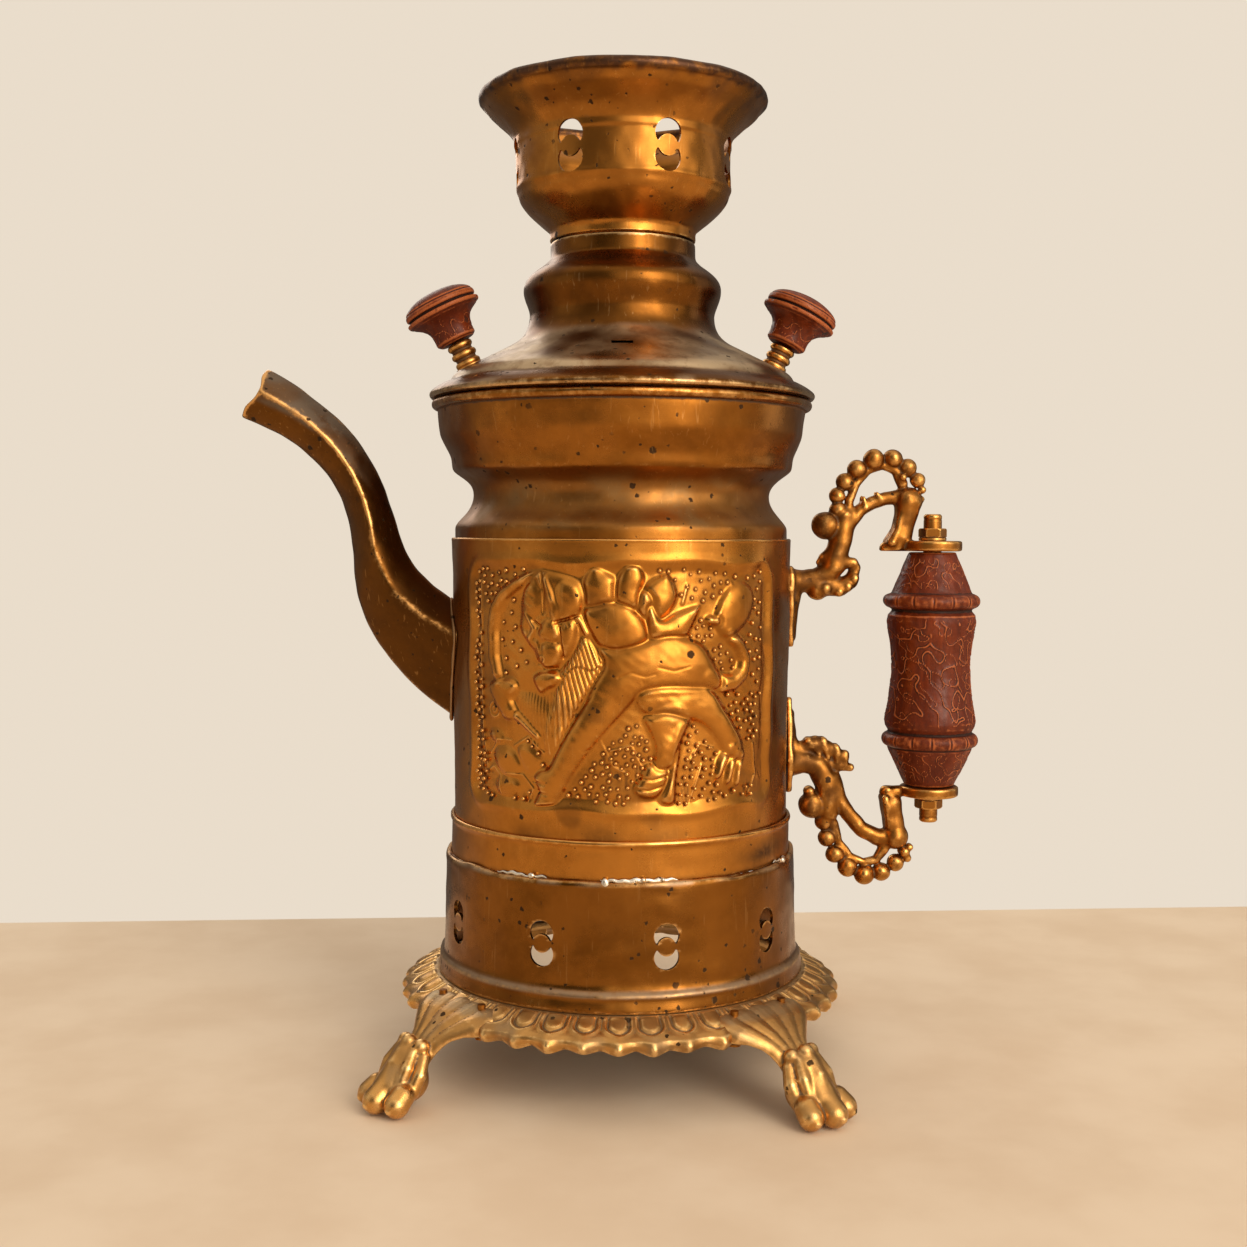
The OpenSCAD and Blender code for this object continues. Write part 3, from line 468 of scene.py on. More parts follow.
PLACE = ("Place", "Vector", None)
TARNISH = group("tarnish", [PLACE, ("Scale", "Float", 30.0), ("Low", "Float", 0.42), ("High", "Float", 0.62)],
                [("Mask", "Float")], fill_tarnish)
PITS = group("pits", [PLACE, ("Scale", "Float", 220.0), ("Share", "Float", 0.4)],
             [("Mask", "Float"), ("Height", "Float")], fill_pits)
HAIRLINES = group("hairlines", [PLACE, ("Rings", "Float", 1.0), ("Scratches", "Float", 1.0)],
                  [("Height", "Float"), ("Mask", "Float")], fill_hairlines)
WEAR = group("wear", [PLACE, ("Scale", "Float", 300.0), ("Edge", "Float", 0.25), ("Hollow", "Float", 0.25)],
             [("Worn", "Float"), ("GrimeAndShade", "Float")], fill_wear)


def use(board, tree, **inputs):
    """Places a group in a material, with its own values."""
    node = board.add("Group", node_tree=tree)
    for label, value in inputs.items():
        board.feed(node.inputs[label], value)
    return node.outputs


# How closely the specks stand, and their colour.
PIT_SCALE, PIT_COLOUR = 330.0, (0.030, 0.015, 0.006)


def new_board(block):
    """The empty node tree of a new material or world."""
    block.use_nodes = True
    block.node_tree.nodes.clear()
    return Board(block.node_tree)


def metal(name, bright, dull, dark, stain_and_painted_light, worn, grime_and_shade, rough, dull_rough, blotch=26.0, low=0.4,
          high=0.66, pit_share=0.42, rings=1.0, scratches=1.0, edge=0.25, hollow=0.25,
          stain_and_light_metal=0.9, stain_and_light_rough=0.5, grime_and_shade_metal=0.35, bump=0.12, grain=0.0):
    """Aged brass: bright metal under tarnish, with specks, stains with some painted light, worn edges, and
    hollows darkened as grime and painted shade.
    """
    material = bpy.data.materials.new(name)
    b = new_board(material)
    place = b.add("TexCoord").outputs["Object"]
    tarnish = use(b, TARNISH, Place=place, Scale=blotch, Low=low, High=high)["Mask"]
    cloud = use(b, TARNISH, Place=place, Scale=blotch * 0.35, Low=0.44, High=0.6)["Mask"]
    pits = use(b, PITS, Place=place, Scale=PIT_SCALE, Share=pit_share)
    big_pits = use(b, PITS, Place=place, Scale=PIT_SCALE * 0.62, Share=pit_share * 0.84)
    lines = use(b, HAIRLINES, Place=place, Rings=rings, Scratches=scratches)
    wear = use(b, WEAR, Place=place, Scale=260.0, Edge=edge, Hollow=hollow)
    # The stain attribute: real stains, and on some pieces painted shade and a painted sheen.
    marked = b.add("Attribute", attribute_name="stain_and_painted_light").outputs["Fac"]
    stained_and_painted = b.maths("MULTIPLY", marked, b.span(b.noise(place, 160.0, 6.0, 0.7), 0.32, 0.56, 0.55, 1.0))

    base = b.mix(tarnish, bright, dull)
    base = b.mix(b.maths("MULTIPLY", cloud, 0.45), base, dark)
    base = b.mix(stained_and_painted, base, stain_and_painted_light)
    base = b.mix(b.maths("MULTIPLY", wear["Worn"], 0.85), base, worn)
    # Hollows take the grime colour: grime and painted shade.
    base = b.mix(wear["GrimeAndShade"], base, grime_and_shade)
    specks = b.maths("MAXIMUM", pits["Mask"], big_pits["Mask"])
    base = b.mix(b.maths("MULTIPLY", specks, 0.92), base, PIT_COLOUR)
    base = b.mix(b.maths("MULTIPLY", lines["Mask"], 0.16 * scratches), base, worn)

    gloss = b.maths("ADD", b.span(tarnish, 0.0, 1.0, rough, dull_rough), b.maths("MULTIPLY", cloud, 0.06))
    gloss = b.maths("ADD", gloss, b.maths("MULTIPLY", b.noise(place, 700.0, 3.0), 0.08))
    gloss = b.maths("SUBTRACT", gloss, b.maths("MULTIPLY", wear["Worn"], 0.08))
    gloss = b.maths("ADD", gloss, b.maths("MULTIPLY", stained_and_painted, stain_and_light_rough - dull_rough))
    dirty = b.maths("MAXIMUM", wear["GrimeAndShade"], specks)
    gloss = b.maths("ADD", gloss, b.maths("MULTIPLY", dirty, 0.25), clamp=True)
    ore = b.maths("SUBTRACT", 1.0, b.maths("MULTIPLY", wear["GrimeAndShade"], 1.0 - grime_and_shade_metal))
    ore = b.maths("SUBTRACT", ore, b.maths("MULTIPLY", stained_and_painted, 1.0 - stain_and_light_metal))
    ore = b.maths("SUBTRACT", ore, b.maths("MULTIPLY", specks, 0.15), clamp=True)

    height = b.maths("MULTIPLY", lines["Height"], 0.10)
    sunk = b.maths("ADD", pits["Height"], big_pits["Height"])
    height = b.maths("ADD", height, b.maths("MULTIPLY", sunk, 0.8))
    height = b.maths("ADD", height, b.maths("MULTIPLY", b.noise(place, 90.0, 4.0, 0.5), 0.4))
    height = b.maths("ADD", height, b.maths("MULTIPLY", b.noise(place, 1400.0, 3.0, 0.6), grain))
    rise = b.add("Bump", {"Strength": bump, "Distance": 0.0012, "Height": height}).outputs["Normal"]
    shader = b.add("BsdfPrincipled", {"Base Color": base, "Metallic": ore, "Roughness": gloss,
                                      "Normal": rise})
    b.add("OutputMaterial", {"Surface": shader.outputs[0]})
    return material


BARREL_BRASS = metal("barrel_brass", (0.53, 0.215, 0.036), (0.40, 0.152, 0.022),
                     (0.19, 0.070, 0.012), (0.085, 0.034, 0.010), (0.74, 0.38, 0.11),
                     (0.13, 0.052, 0.014), rough=0.2, dull_rough=0.3, hollow=1.2)
# The collar's brass is dark: a darker brass, and a painted dark reflection of its surroundings.
COLLAR_BRASS = metal("collar_brass", (0.255, 0.098, 0.016), (0.175, 0.064, 0.009),
                     (0.11, 0.042, 0.009), (0.36, 0.26, 0.17), (0.62, 0.35, 0.13),
                     (0.07, 0.03, 0.010), rough=0.18, dull_rough=0.28, pit_share=0.5, stain_and_light_metal=0.8)
NECK_BRASS = metal("neck_brass", (0.37, 0.142, 0.023), (0.25, 0.090, 0.012),
                   (0.14, 0.052, 0.010), (0.24, 0.135, 0.05), (0.72, 0.40, 0.14),
                   (0.08, 0.035, 0.012), rough=0.19, dull_rough=0.29, pit_share=0.47)
# The lid's stain colour is pale grey, for its cone: grey patina, and a painted sheen of the light from above.
LID_BRASS = metal("lid_brass", (0.205, 0.076, 0.012), (0.13, 0.048, 0.008),
                  (0.09, 0.035, 0.008), (0.50, 0.37, 0.23), (0.70, 0.44, 0.20),
                  (0.07, 0.035, 0.014), rough=0.2, dull_rough=0.31, blotch=34.0, pit_share=0.47,
                  stain_and_light_rough=0.34)
CROWN_BRASS = metal("crown_brass", (0.50, 0.20, 0.034), (0.37, 0.14, 0.021),
                    (0.17, 0.064, 0.012), (0.075, 0.034, 0.018), (0.78, 0.44, 0.14),
                    (0.08, 0.036, 0.012), rough=0.2, dull_rough=0.31, pit_share=0.52, edge=0.6,
                    stain_and_light_rough=0.36)
# The spout's brass is darker than the barrel's: a duller brass, darkened further as painted shade.
SPOUT_BRASS = metal("spout_brass", (0.165, 0.064, 0.011), (0.112, 0.043, 0.008),
                    (0.055, 0.023, 0.007), (0.16, 0.115, 0.08), (0.82, 0.44, 0.15),
                    (0.08, 0.04, 0.015), rough=0.25, dull_rough=0.37, pit_share=0.5, edge=0.14)
CAST_BRASS = metal("cast_brass", (0.39, 0.160, 0.030), (0.29, 0.112, 0.019),
                   (0.17, 0.068, 0.016), (0.10, 0.040, 0.011), (0.72, 0.38, 0.11),
                   (0.11, 0.048, 0.014), rough=0.27, dull_rough=0.38, blotch=60.0, pit_share=0.36,
                   rings=0.0, scratches=0.4, edge=0.2, hollow=0.25, grime_and_shade_metal=0.4, bump=0.08, grain=0.3)
FOOT_BRASS = metal("foot_brass", (0.66, 0.35, 0.105), (0.50, 0.265, 0.085),
                   (0.28, 0.16, 0.065), (0.38, 0.27, 0.15), (0.92, 0.60, 0.25),
                   (0.17, 0.10, 0.045), rough=0.24, dull_rough=0.38, blotch=42.0, low=0.36, high=0.6,
                   pit_share=0.38, rings=0.0, scratches=0.4, edge=0.2, hollow=0.3, grime_and_shade_metal=0.4, bump=0.15,
                   grain=0.3)
SOOTY_BRASS = metal("sooty_brass", (0.22, 0.13, 0.06), (0.11, 0.07, 0.04),
                    (0.05, 0.04, 0.03), (0.04, 0.03, 0.025), (0.30, 0.2, 0.1),
                    (0.03, 0.025, 0.02), rough=0.5, dull_rough=0.7, stain_and_light_metal=0.4)
CAST_IRON = metal("cast_iron", (0.10, 0.09, 0.085), (0.06, 0.052, 0.048),
                  (0.035, 0.03, 0.028), (0.14, 0.05, 0.02), (0.16, 0.14, 0.13),
                  (0.10, 0.04, 0.02), rough=0.55, dull_rough=0.75, stain_and_light_metal=0.2, grain=0.8, bump=0.3)
SOLDER = metal("solder", (0.62, 0.55, 0.45), (0.44, 0.38, 0.30),
               (0.25, 0.2, 0.15), (0.3, 0.25, 0.2), (0.8, 0.76, 0.68),
               (0.14, 0.1, 0.07), rough=0.32, dull_rough=0.5, rings=0.0, bump=0.3, grain=0.3)
DARK_SOLDER = metal("dark_solder", (0.20, 0.11, 0.05), (0.13, 0.075, 0.035),
                    (0.07, 0.045, 0.025), (0.1, 0.07, 0.04), (0.42, 0.25, 0.12),
                    (0.06, 0.035, 0.02), rough=0.4, dull_rough=0.55, rings=0.0, bump=0.3, grain=0.3)


def waxed_wood():
    """Dark red-brown hardwood with fine grain, paler where it is worn, and nearly black in its cuts as grime
    and painted shade.
    """
    material = bpy.data.materials.new("waxed_wood")
    b = new_board(material)
    place = b.add("TexCoord").outputs["Object"]
    streaks = b.noise(b.stretched(place, (260.0, 260.0, 26.0)), 1.0, 5.0, 0.6, 0.6)
    pores = b.span(b.noise(b.stretched(place, (1500.0, 1500.0, 160.0)), 1.0, 2.0, 0.5), 0.6, 0.72)
    blotch = use(b, TARNISH, Place=place, Scale=40.0, Low=0.38, High=0.62)["Mask"]
    wear = use(b, WEAR, Place=place, Scale=330.0, Edge=0.2, Hollow=0.22)
    chips = use(b, PITS, Place=place, Scale=170.0, Share=0.38)
    scuffs = b.span(b.noise(b.stretched(place, (330.0, 330.0, 420.0)), 1.0, 6.0, 0.75, 1.4), 0.56, 0.7)
    base = b.mix(b.span(streaks, 0.3, 0.7), (0.098, 0.015, 0.004), (0.205, 0.035, 0.008))
    base = b.mix(b.maths("MULTIPLY", blotch, 0.6), base, (0.072, 0.014, 0.007))
    base = b.mix(b.maths("MULTIPLY", scuffs, 0.22), base, (0.36, 0.10, 0.04))
    base = b.mix(b.maths("MULTIPLY", wear["Worn"], 0.75), base, (0.46, 0.13, 0.04))
    # Cuts and hollows darkened: grime and painted shade.
    base = b.mix(wear["GrimeAndShade"], base, (0.030, 0.012, 0.009))
    base = b.mix(b.maths("MULTIPLY", pores, 0.5), base, (0.05, 0.014, 0.01))
    base = b.mix(b.maths("MULTIPLY", chips["Mask"], 0.8), base, (0.045, 0.02, 0.015))
    gloss = b.maths("ADD", b.span(blotch, 0.0, 1.0, 0.3, 0.44), b.maths("MULTIPLY", scuffs, 0.15))
    gloss = b.maths("ADD", gloss, b.maths("MULTIPLY", wear["GrimeAndShade"], 0.2), clamp=True)
    height = b.maths("ADD", b.maths("MULTIPLY", streaks, 0.5), b.maths("MULTIPLY", scuffs, -0.5))
    height = b.maths("ADD", height, b.maths("MULTIPLY", chips["Height"], 0.9))
    rise = b.add("Bump", {"Strength": 0.3, "Distance": 0.0008, "Height": height}).outputs["Normal"]
    wax = b.span(blotch, 0.0, 1.0, 0.2, 0.05)
    shader = b.add("BsdfPrincipled", {"Base Color": base, "Roughness": gloss, "Normal": rise,
                                      "Coat Weight": wax,
                                      "Coat Roughness": 0.24, "Specular IOR Level": 0.15})
    b.add("OutputMaterial", {"Surface": shader.outputs[0]})
    return material


WOOD = waxed_wood()


# ---------------------------------------------------------------- camera, floor and light

# The camera: how far away and how high it stands in mm, how far it stands to the side and how it is tilted
# and turned in degrees or radians, and its lens, with the picture's width and the focal length in pixels.
CAMERA_AWAY, CAMERA_HEIGHT, CAMERA_SIDE = 655.0, 219.4, math.radians(-4.0)
CAMERA_PITCH, CAMERA_ROLL = 0.0577, math.radians(0.25)
PICTURE_WIDTH, FOCAL_LENGTH, OFF_CENTRE = 1247, 1555.36, 2.4
SENSOR = 36.0


def set_camera():
    """The viewing angle: a little to the left of the front, just above the vessel's middle."""
    spot = Vector((math.sin(CAMERA_SIDE) * CAMERA_AWAY, -math.cos(CAMERA_SIDE) * CAMERA_AWAY,
                   CAMERA_HEIGHT)) * MM
    turn = Matrix.Rotation(CAMERA_SIDE - OFF_CENTRE / FOCAL_LENGTH, 4, "Z")
    turn = turn @ Matrix.Rotation(math.pi / 2 - CAMERA_PITCH, 4, "X") @ Matrix.Rotation(CAMERA_ROLL, 4, "Z")
    data = bpy.data.cameras.new("camera")
    data.sensor_width, data.lens = SENSOR, SENSOR * FOCAL_LENGTH / PICTURE_WIDTH
    data.clip_start, data.clip_end = 0.01, 50
    camera = bpy.data.objects.new("camera", data)
    camera.matrix_world = Matrix.Translation(spot) @ turn
    bpy.context.scene.collection.objects.link(camera)
    bpy.context.scene.camera = camera


def set_floor():
    """A plain pale floor that keeps the object's shadow."""
    reach, back = 6000, 230
    rim = [(-reach, -reach, 0), (reach, -reach, 0), (reach, back, 0), (-reach, back, 0)]
    floor = mesh_object("floor", rim, [[0, 1, 2, 3]])
    material = bpy.data.materials.new("pale_floor")
    b = new_board(material)
    place = b.add("TexCoord").outputs["Object"]
    tone = b.span(b.noise(place, 14.0, 4.0), 0.3, 0.7)
    shade = b.mix(tone, (0.72, 0.57, 0.42), (0.79, 0.65, 0.50))
    shader = b.add("BsdfPrincipled", {"Base Color": shade, "Roughness": 0.85})
    b.add("OutputMaterial", {"Surface": shader.outputs[0]})
    floor.data.materials.append(material)


def set_world():
    """A pale surround. The metal sees a broad soft light in it on the right and a dimmer one on the left."""
    world = bpy.data.worlds.new("studio")
    bpy.context.scene.world = world
    b = new_board(world)
    way = b.add("TexCoord").outputs["Generated"]
    path = b.add("LightPath")

    def towards(x, y, z):
        return b.add("VectorMath", {0: way, 1: (x, y, z)}, operation="DOT_PRODUCT").outputs["Value"]
    right = b.maths("MULTIPLY", b.span(towards(0.54, -0.82, 0.18), 0.62, 0.97), 2.1)
    left = b.maths("MULTIPLY", b.span(towards(-0.98, 0.15, 0.15), 0.7, 1.0), 0.28)
    above = b.maths("MULTIPLY", b.span(towards(0, 0, 1), 0.4, 0.95), 0.85)
    seen = b.maths("MAXIMUM", path.outputs["Is Glossy Ray"], path.outputs["Is Transmission Ray"])
    backdrop = b.add("Mix", {0: seen, 2: 0.13, 3: 0.15}, data_type="FLOAT").outputs[0]
    lit = b.maths("ADD", b.maths("ADD", b.maths("ADD", right, left), above), backdrop)
    level = b.add("Mix", {0: path.outputs["Is Camera Ray"], 2: lit, 3: 0.82}, data_type="FLOAT").outputs[0]
    glow = b.add("Background", {"Color": (1.0, 0.88, 0.73), "Strength": level})
    b.add("OutputWorld", {"Surface": glow.outputs[0]})


def add_lamp(name, spot, aim, size, power, tint):
    """A soft lamp, with its place and aim in mm, its size in metres and its power in watts."""
    data = bpy.data.lights.new(name, "AREA")
    data.shape, data.size, data.size_y, data.energy, data.color = "RECTANGLE", *size, power, tint
    lamp = bpy.data.objects.new(name, data)
    lamp.location = Vector(spot) * MM
    lamp.rotation_euler = (Vector(aim) - Vector(spot)).to_track_quat("-Z", "Y").to_euler()
    bpy.context.scene.collection.objects.link(lamp)


WARM, SOFT_WARM = (1.0, 0.89, 0.74), (1.0, 0.93, 0.84)

set_camera()
set_floor()
set_world()
add_lamp("key", (640, -1150, 690), (0, 0, 150), (0.5, 0.9), 7.2, WARM)
add_lamp("low_key", (450, -760, 150), (0, 0, 300), (0.2, 0.16), 0.35, WARM)
add_lamp("left_fill", (-1300, -500, 500), (0, 0, 200), (0.9, 0.9), 0.8, SOFT_WARM)
add_lamp("back_rim", (-500, 1200, 900), (0, 0, 220), (0.7, 0.7), 3.0, SOFT_WARM)
add_lamp("right_rim", (1300, 250, 500), (0, 0, 220), (0.35, 0.9), 0.8, (1.0, 0.92, 0.8))
bpy.context.scene.view_settings.view_transform = "Standard"


# ---------------------------------------------------------------- heights and radii that the pieces share

SHEET = 1.2
BARREL_R, BARREL_FOOT_R, BARREL_BASE, SEAM_Z = 70.8, 69.8, 102.6, 217.6
PANEL_Z, PANEL_H, PANEL_SPAN = 161.1, 93.0, 57.0
BAND_R, BAND_BASE = 71.0, 86.6
RIM_Z, LID_Z = 272.2, 274.6
THROAT_R, THROAT_Z = 30.1, 339.2
CROWN_Z, CROWN_WALL_R = 339.5, 44.6
COLLAR_BASE, COLLAR_R, COLLAR_FOOT_R, COLLAR_TOP = 37.6, 73.6, 76.9, 87.6
RING_R, RING_IN, RING_SEAT = 90.6, 72.7, 77.5
STRAINER_Z, STRAINER_PITCH, STRAINER_R = 179.64, 5.4, 1.8


def angle_of(p):
    """Angles in degrees from the front, towards the grip."""
    return np.degrees(np.arctan2(p[:, 0], -p[:, 1]))


def wall_ways(phi):
    """The directions across and straight out of the vessel's wall at an angle."""
    a = np.radians(phi)
    return np.array((math.cos(a), math.sin(a), 0)), np.array((math.sin(a), -math.cos(a), 0))


# ---------------------------------------------------------------- pierced and spun brass

def crescents(lobe, phi, r, z):
    """Tools for one pierced figure: two crescents, above and below a disc that stays."""
    web, disc, rise, depth = 0.26 * lobe, 0.74 * lobe, 0.82 * lobe, 4.0
    low = math.degrees(math.asin((web - rise) / lobe))
    start = math.degrees(math.asin(web / disc))
    outline = arc((0, rise), lobe, low, 180 - low, 26) + arc((0, 0), disc, 180 - start, start, 16)
    across, out = wall_ways(phi)
    tools = []
    for side in (1, -1):
        rims = [[across * x + (0, 0, z + y) + out * (r + d) for x, y in np.array(outline) * (1, side)]
                for d in (-depth, depth)]
        tools.append(prism("crescent", *rims))
    return tools


def pierce(thing, lobe, angles, r, z):
    """Cuts a pierced figure into a wall of the radius r at each angle."""
    tools = [tool for phi in angles for tool in crescents(lobe, phi, r, z)]
    carve(thing, [join("crescents", tools)])


def make_crown():
    outline = [(THROAT_R + 0.05, CROWN_Z), (THROAT_R + 0.3, CROWN_Z + 0.4), (30.2, 342.0)]
    outline += cubic([(30.5, 343.9), (34.1, 347.5), (42.6, 353.0), (43.6, 358.0)])
    outline += [(43.8, 359.0), (44.5, 360.1), (44.5, 361.2), (44.2, 361.8), (44.4, 377.2), (44.8, 377.8)]
    outline += cubic([(44.8, 380.6), (46.4, 385.5), (52.0, 389.0), (56.9, 393.2)])
    rim = arc((57.5, 397.5), 2.5, -75, 205, 14)
    shaken = dented(0.28, 11, 30)

    def shape(phi, r, z):
        bumped, z = shaken(phi, r, z)
        p = round_about(phi, r, z)
        edge = ease(391, 398, z)
        bumped = bumped - edge * (0.35 + 0.18 * unevenness(p, 24, 5))
        return bumped, z - edge * (0.2 + 0.14 * unevenness(p, 22, 6))
    crown = turned("crown_shell_dressed", outline + rim + inset(outline, SHEET)[::-1], 240, 0.7, shape)
    pierce(crown, 5.6, [-32 + k * 360 / 7 for k in range(7)], CROWN_WALL_R, CROWN_Z + 31)

    def stain_and_painted_light(p):
        rim_dark = ease(393.6, 396.2, p[:, 2] + 0.8 * unevenness(p, 9, 3))
        streak = 0.6 * ease(0.2, 0.9, unevenness(p * (1, 1, 0.35), 26, 8)) * ease(386, 392, p[:, 2])
        return np.maximum(rim_dark, streak)
    dress(crown, CROWN_BRASS, "crown", ["crown_shell"], stain_and_painted_light=stain_and_painted_light)


def make_lid():
    outline = [(77.1, LID_Z + 0.05), (79.7, LID_Z + 0.05), (80.2, 275.8), (79.8, 277.0), (77.3, 279.0),
               (74.3, 280.6), (71.9, 281.5), (71.4, 282.2), (70.5, 283.8), (68.5, 285.5)]
    outline += cubic([(49.0, 295.2), (43.0, 298.2), (39.0, 301.1), (38.2, 308.6)])
    outline += cubic([(38.2, 309.1), (38.2, 312.6), (40.9, 316.1), (41.0, 319.8)])
    outline += cubic([(41.0, 320.2), (41.1, 325.1), (35.1, 327.6), (31.5, 330.6)])
    outline += [(30.4, 332.0), (30.0, 333.6), (30.0, THROAT_Z)]
    lid = turned("lid_dressed", wall(outline, SHEET), 216, 0.8, dented(0.2, 21))
    slot = [(x, y, z) for x in (-4.2, 4.2) for y in (-56.0, -38.0) for z in (292.3, 293.6)]
    box = mesh_object("slot", slot, [[0, 1, 3, 2], [4, 6, 7, 5], [0, 4, 5, 1], [2, 3, 7, 6], [0, 2, 6, 4],
                                     [1, 5, 7, 3]])
    box.data.transform(Matrix.Rotation(math.radians(PANEL_TURN), 4, "Z"))
    carve(lid, [box])

    def stain_and_painted_light(p):
        # The cone is marked pale grey: grey patina, and a painted sheen of the light from above.
        cone = ease(280.5, 283.0, p[:, 2]) * ease(302.0, 297.0, p[:, 2] + 1.5 * unevenness(p, 20, 33))
        streaks = 0.4 * ease(0.5, 1.2, unevenness(p, 22, 32)) * ease(303, 297, p[:, 2])
        return cone * (0.75 + 0.45 * unevenness(p, 26, 31)) + streaks
    dress(lid, LID_BRASS, "lid", ["lid_shell"], stain_and_painted_light=stain_and_painted_light)


def make_neck():
    ledge = BARREL_R - SHEET - 0.1
    outline = [(ledge, SEAM_Z - 5), (ledge, SEAM_Z + 3.2)]
    outline += cubic([(ledge, SEAM_Z + 3.8), (ledge - 0.4, SEAM_Z + 7), (61.5, SEAM_Z + 10.5),
                      (61.5, SEAM_Z + 17.6)])
    outline += cubic([(61.5, SEAM_Z + 17.6), (61.5, SEAM_Z + 24), (69.9, SEAM_Z + 25.5), (71.0, SEAM_Z + 29)])
    outline += [(71.1, SEAM_Z + 32.5), (71.6, SEAM_Z + 34.0), (73.6, SEAM_Z + 38.0), (74.9, SEAM_Z + 41.0)]
    outline += [(75.2, SEAM_Z + 42.5), (75.7, SEAM_Z + 47.0), (76.3, SEAM_Z + 51.5)]
    rim = arc((77.0, RIM_Z), 2.08, -110, 190, 12)
    neck = turned("neck_dressed", outline + rim + inset(outline, SHEET)[::-1], 216, 0.8, dented(0.26, 41, 34))

    def stain_and_painted_light(p):
        waist = ease(246, 238, p[:, 2]) * ease(219, 224, p[:, 2])
        return waist * (0.35 + 0.5 * ease(-0.2, 0.9, unevenness(p, 24, 44)))
    dress(neck, NECK_BRASS, "vessel", ["vessel_neck"], stain_and_painted_light=stain_and_painted_light)


def make_collar():
    outer = [(COLLAR_FOOT_R, COLLAR_BASE + 0.05), (COLLAR_FOOT_R, COLLAR_BASE + 1), (76.1, 43.0),
             (76.3, 43.8), (76.0, 44.8), (74.6, 46.0), (74.2, 48.2), (73.9, 57.6), (COLLAR_R, 82.0),
             (COLLAR_R, 85.6)]
    lip = [(73.3, 86.8), (72.5, 87.5), (71.6, 87.4), (71.1, 86.9), (71.1, 86.5), (69.0, 86.5), (69.0, 85.4),
           (72.2, 85.4)]
    inner = inset(outer[:-2], SHEET)[::-1]
    shaken = dented(0.22, 51, 32)

    def shape(phi, r, z):
        bumped, z = shaken(phi, r, z)
        p = round_about(phi, r, z)
        top = ease(82, 87, z) * (r > 71.3)
        return bumped + top * 0.25 * unevenness(p, 15, 52), z + top * 0.42 * unevenness(p, 21, 53)
    collar = turned("collar_dressed", outer + lip + inner, 240, 0.8, shape)
    pierce(collar, 4.9, [-28 + 38 * k for k in range(-4, 5)], COLLAR_R, COLLAR_BASE + 25)

    def stain_and_painted_light(p):
        lip_grey = ease(85.2, 87.0, p[:, 2]) * ease(-0.5, 0.4, unevenness(p, 20, 55))
        ledge = 0.7 * ease(43.0, 44.2, p[:, 2]) * ease(46.6, 45.2, p[:, 2])
        return np.maximum(lip_grey, ledge)
    dress(collar, COLLAR_BRASS, "vessel", ["base_collar"], stain_and_painted_light=stain_and_painted_light)


def make_band():
    section = [(BAND_R, BAND_BASE + 0.05), (BAND_R, 100.0), (71.3, 100.4), (71.75, 101.1), (71.75, 101.9),
               (71.3, 102.6), (70.6, 102.8), (69.9, 102.7), (69.9, BAND_BASE + 0.05)]
    band = turned("band_dressed", section, 240, 0.7, dented(0.14, 61, 30))

    def stain_and_painted_light(p):
        phi = angle_of(p)
        burn = np.exp(-((phi - 50) / 13) ** 2) * np.exp(-((p[:, 2] - 93.5) / 4.6) ** 2)
        return burn * (0.8 + 0.3 * unevenness(p, 12, 63)) + 0.35 * ease(89.5, 87.5, p[:, 2])
    dress(band, BARREL_BRASS, "vessel", ["lower_band"], stain_and_painted_light=stain_and_painted_light)


# ---------------------------------------------------------------- barrel with its raised picture

# The picture is drawn in mm from the middle of the panel: a striding lion with the sun at its back.
# Each form has its outline or its line, the height it rises, the width of its shoulders (or its radii along
# the line), how far it comes to a ridge, and how much of what lies below it still shows through.
GROUND_FORMS = [
    ([(-45, -3), (-36, -3), (-27, -8), (-27, -20), (-33, -26), (-38, -20), (-43, -12)], 0.45, 6, 0, 1),
    ([(-58, -27), (-52, -24.5), (-45, -26), (-40.5, -32), (-45, -37), (-53, -35.5)], 0.8, 4, 0, 1),
    ([(-44.5, -24), (-38.5, -22.5), (-31.5, -28), (-34, -33.5), (-40, -33.5)], 0.7, 4, 0, 0.8),
    ([(-56, -38), (-48, -35.5), (-41.5, -39), (-44.5, -44), (-54, -44)], 0.7, 4, 0, 0.8),
    ([(-60.5, -20), (-55, -18), (-49.5, -21.5), (-55, -24.5)], 0.8, 2.5, 0, 0.8),
    ([(-14.5, 20), (-12, 17), (-10, 13.5), (-6.5, 10), (-7, 7), (-16, -6), (-20.5, -14.5), (-27.5, -28),
      (-30.5, -25), (-30, -15), (-26, -5), (-24.5, 3), (-22.5, 7), (-17.5, 13.5)], 0.7, 1.5, 0, 1),
]
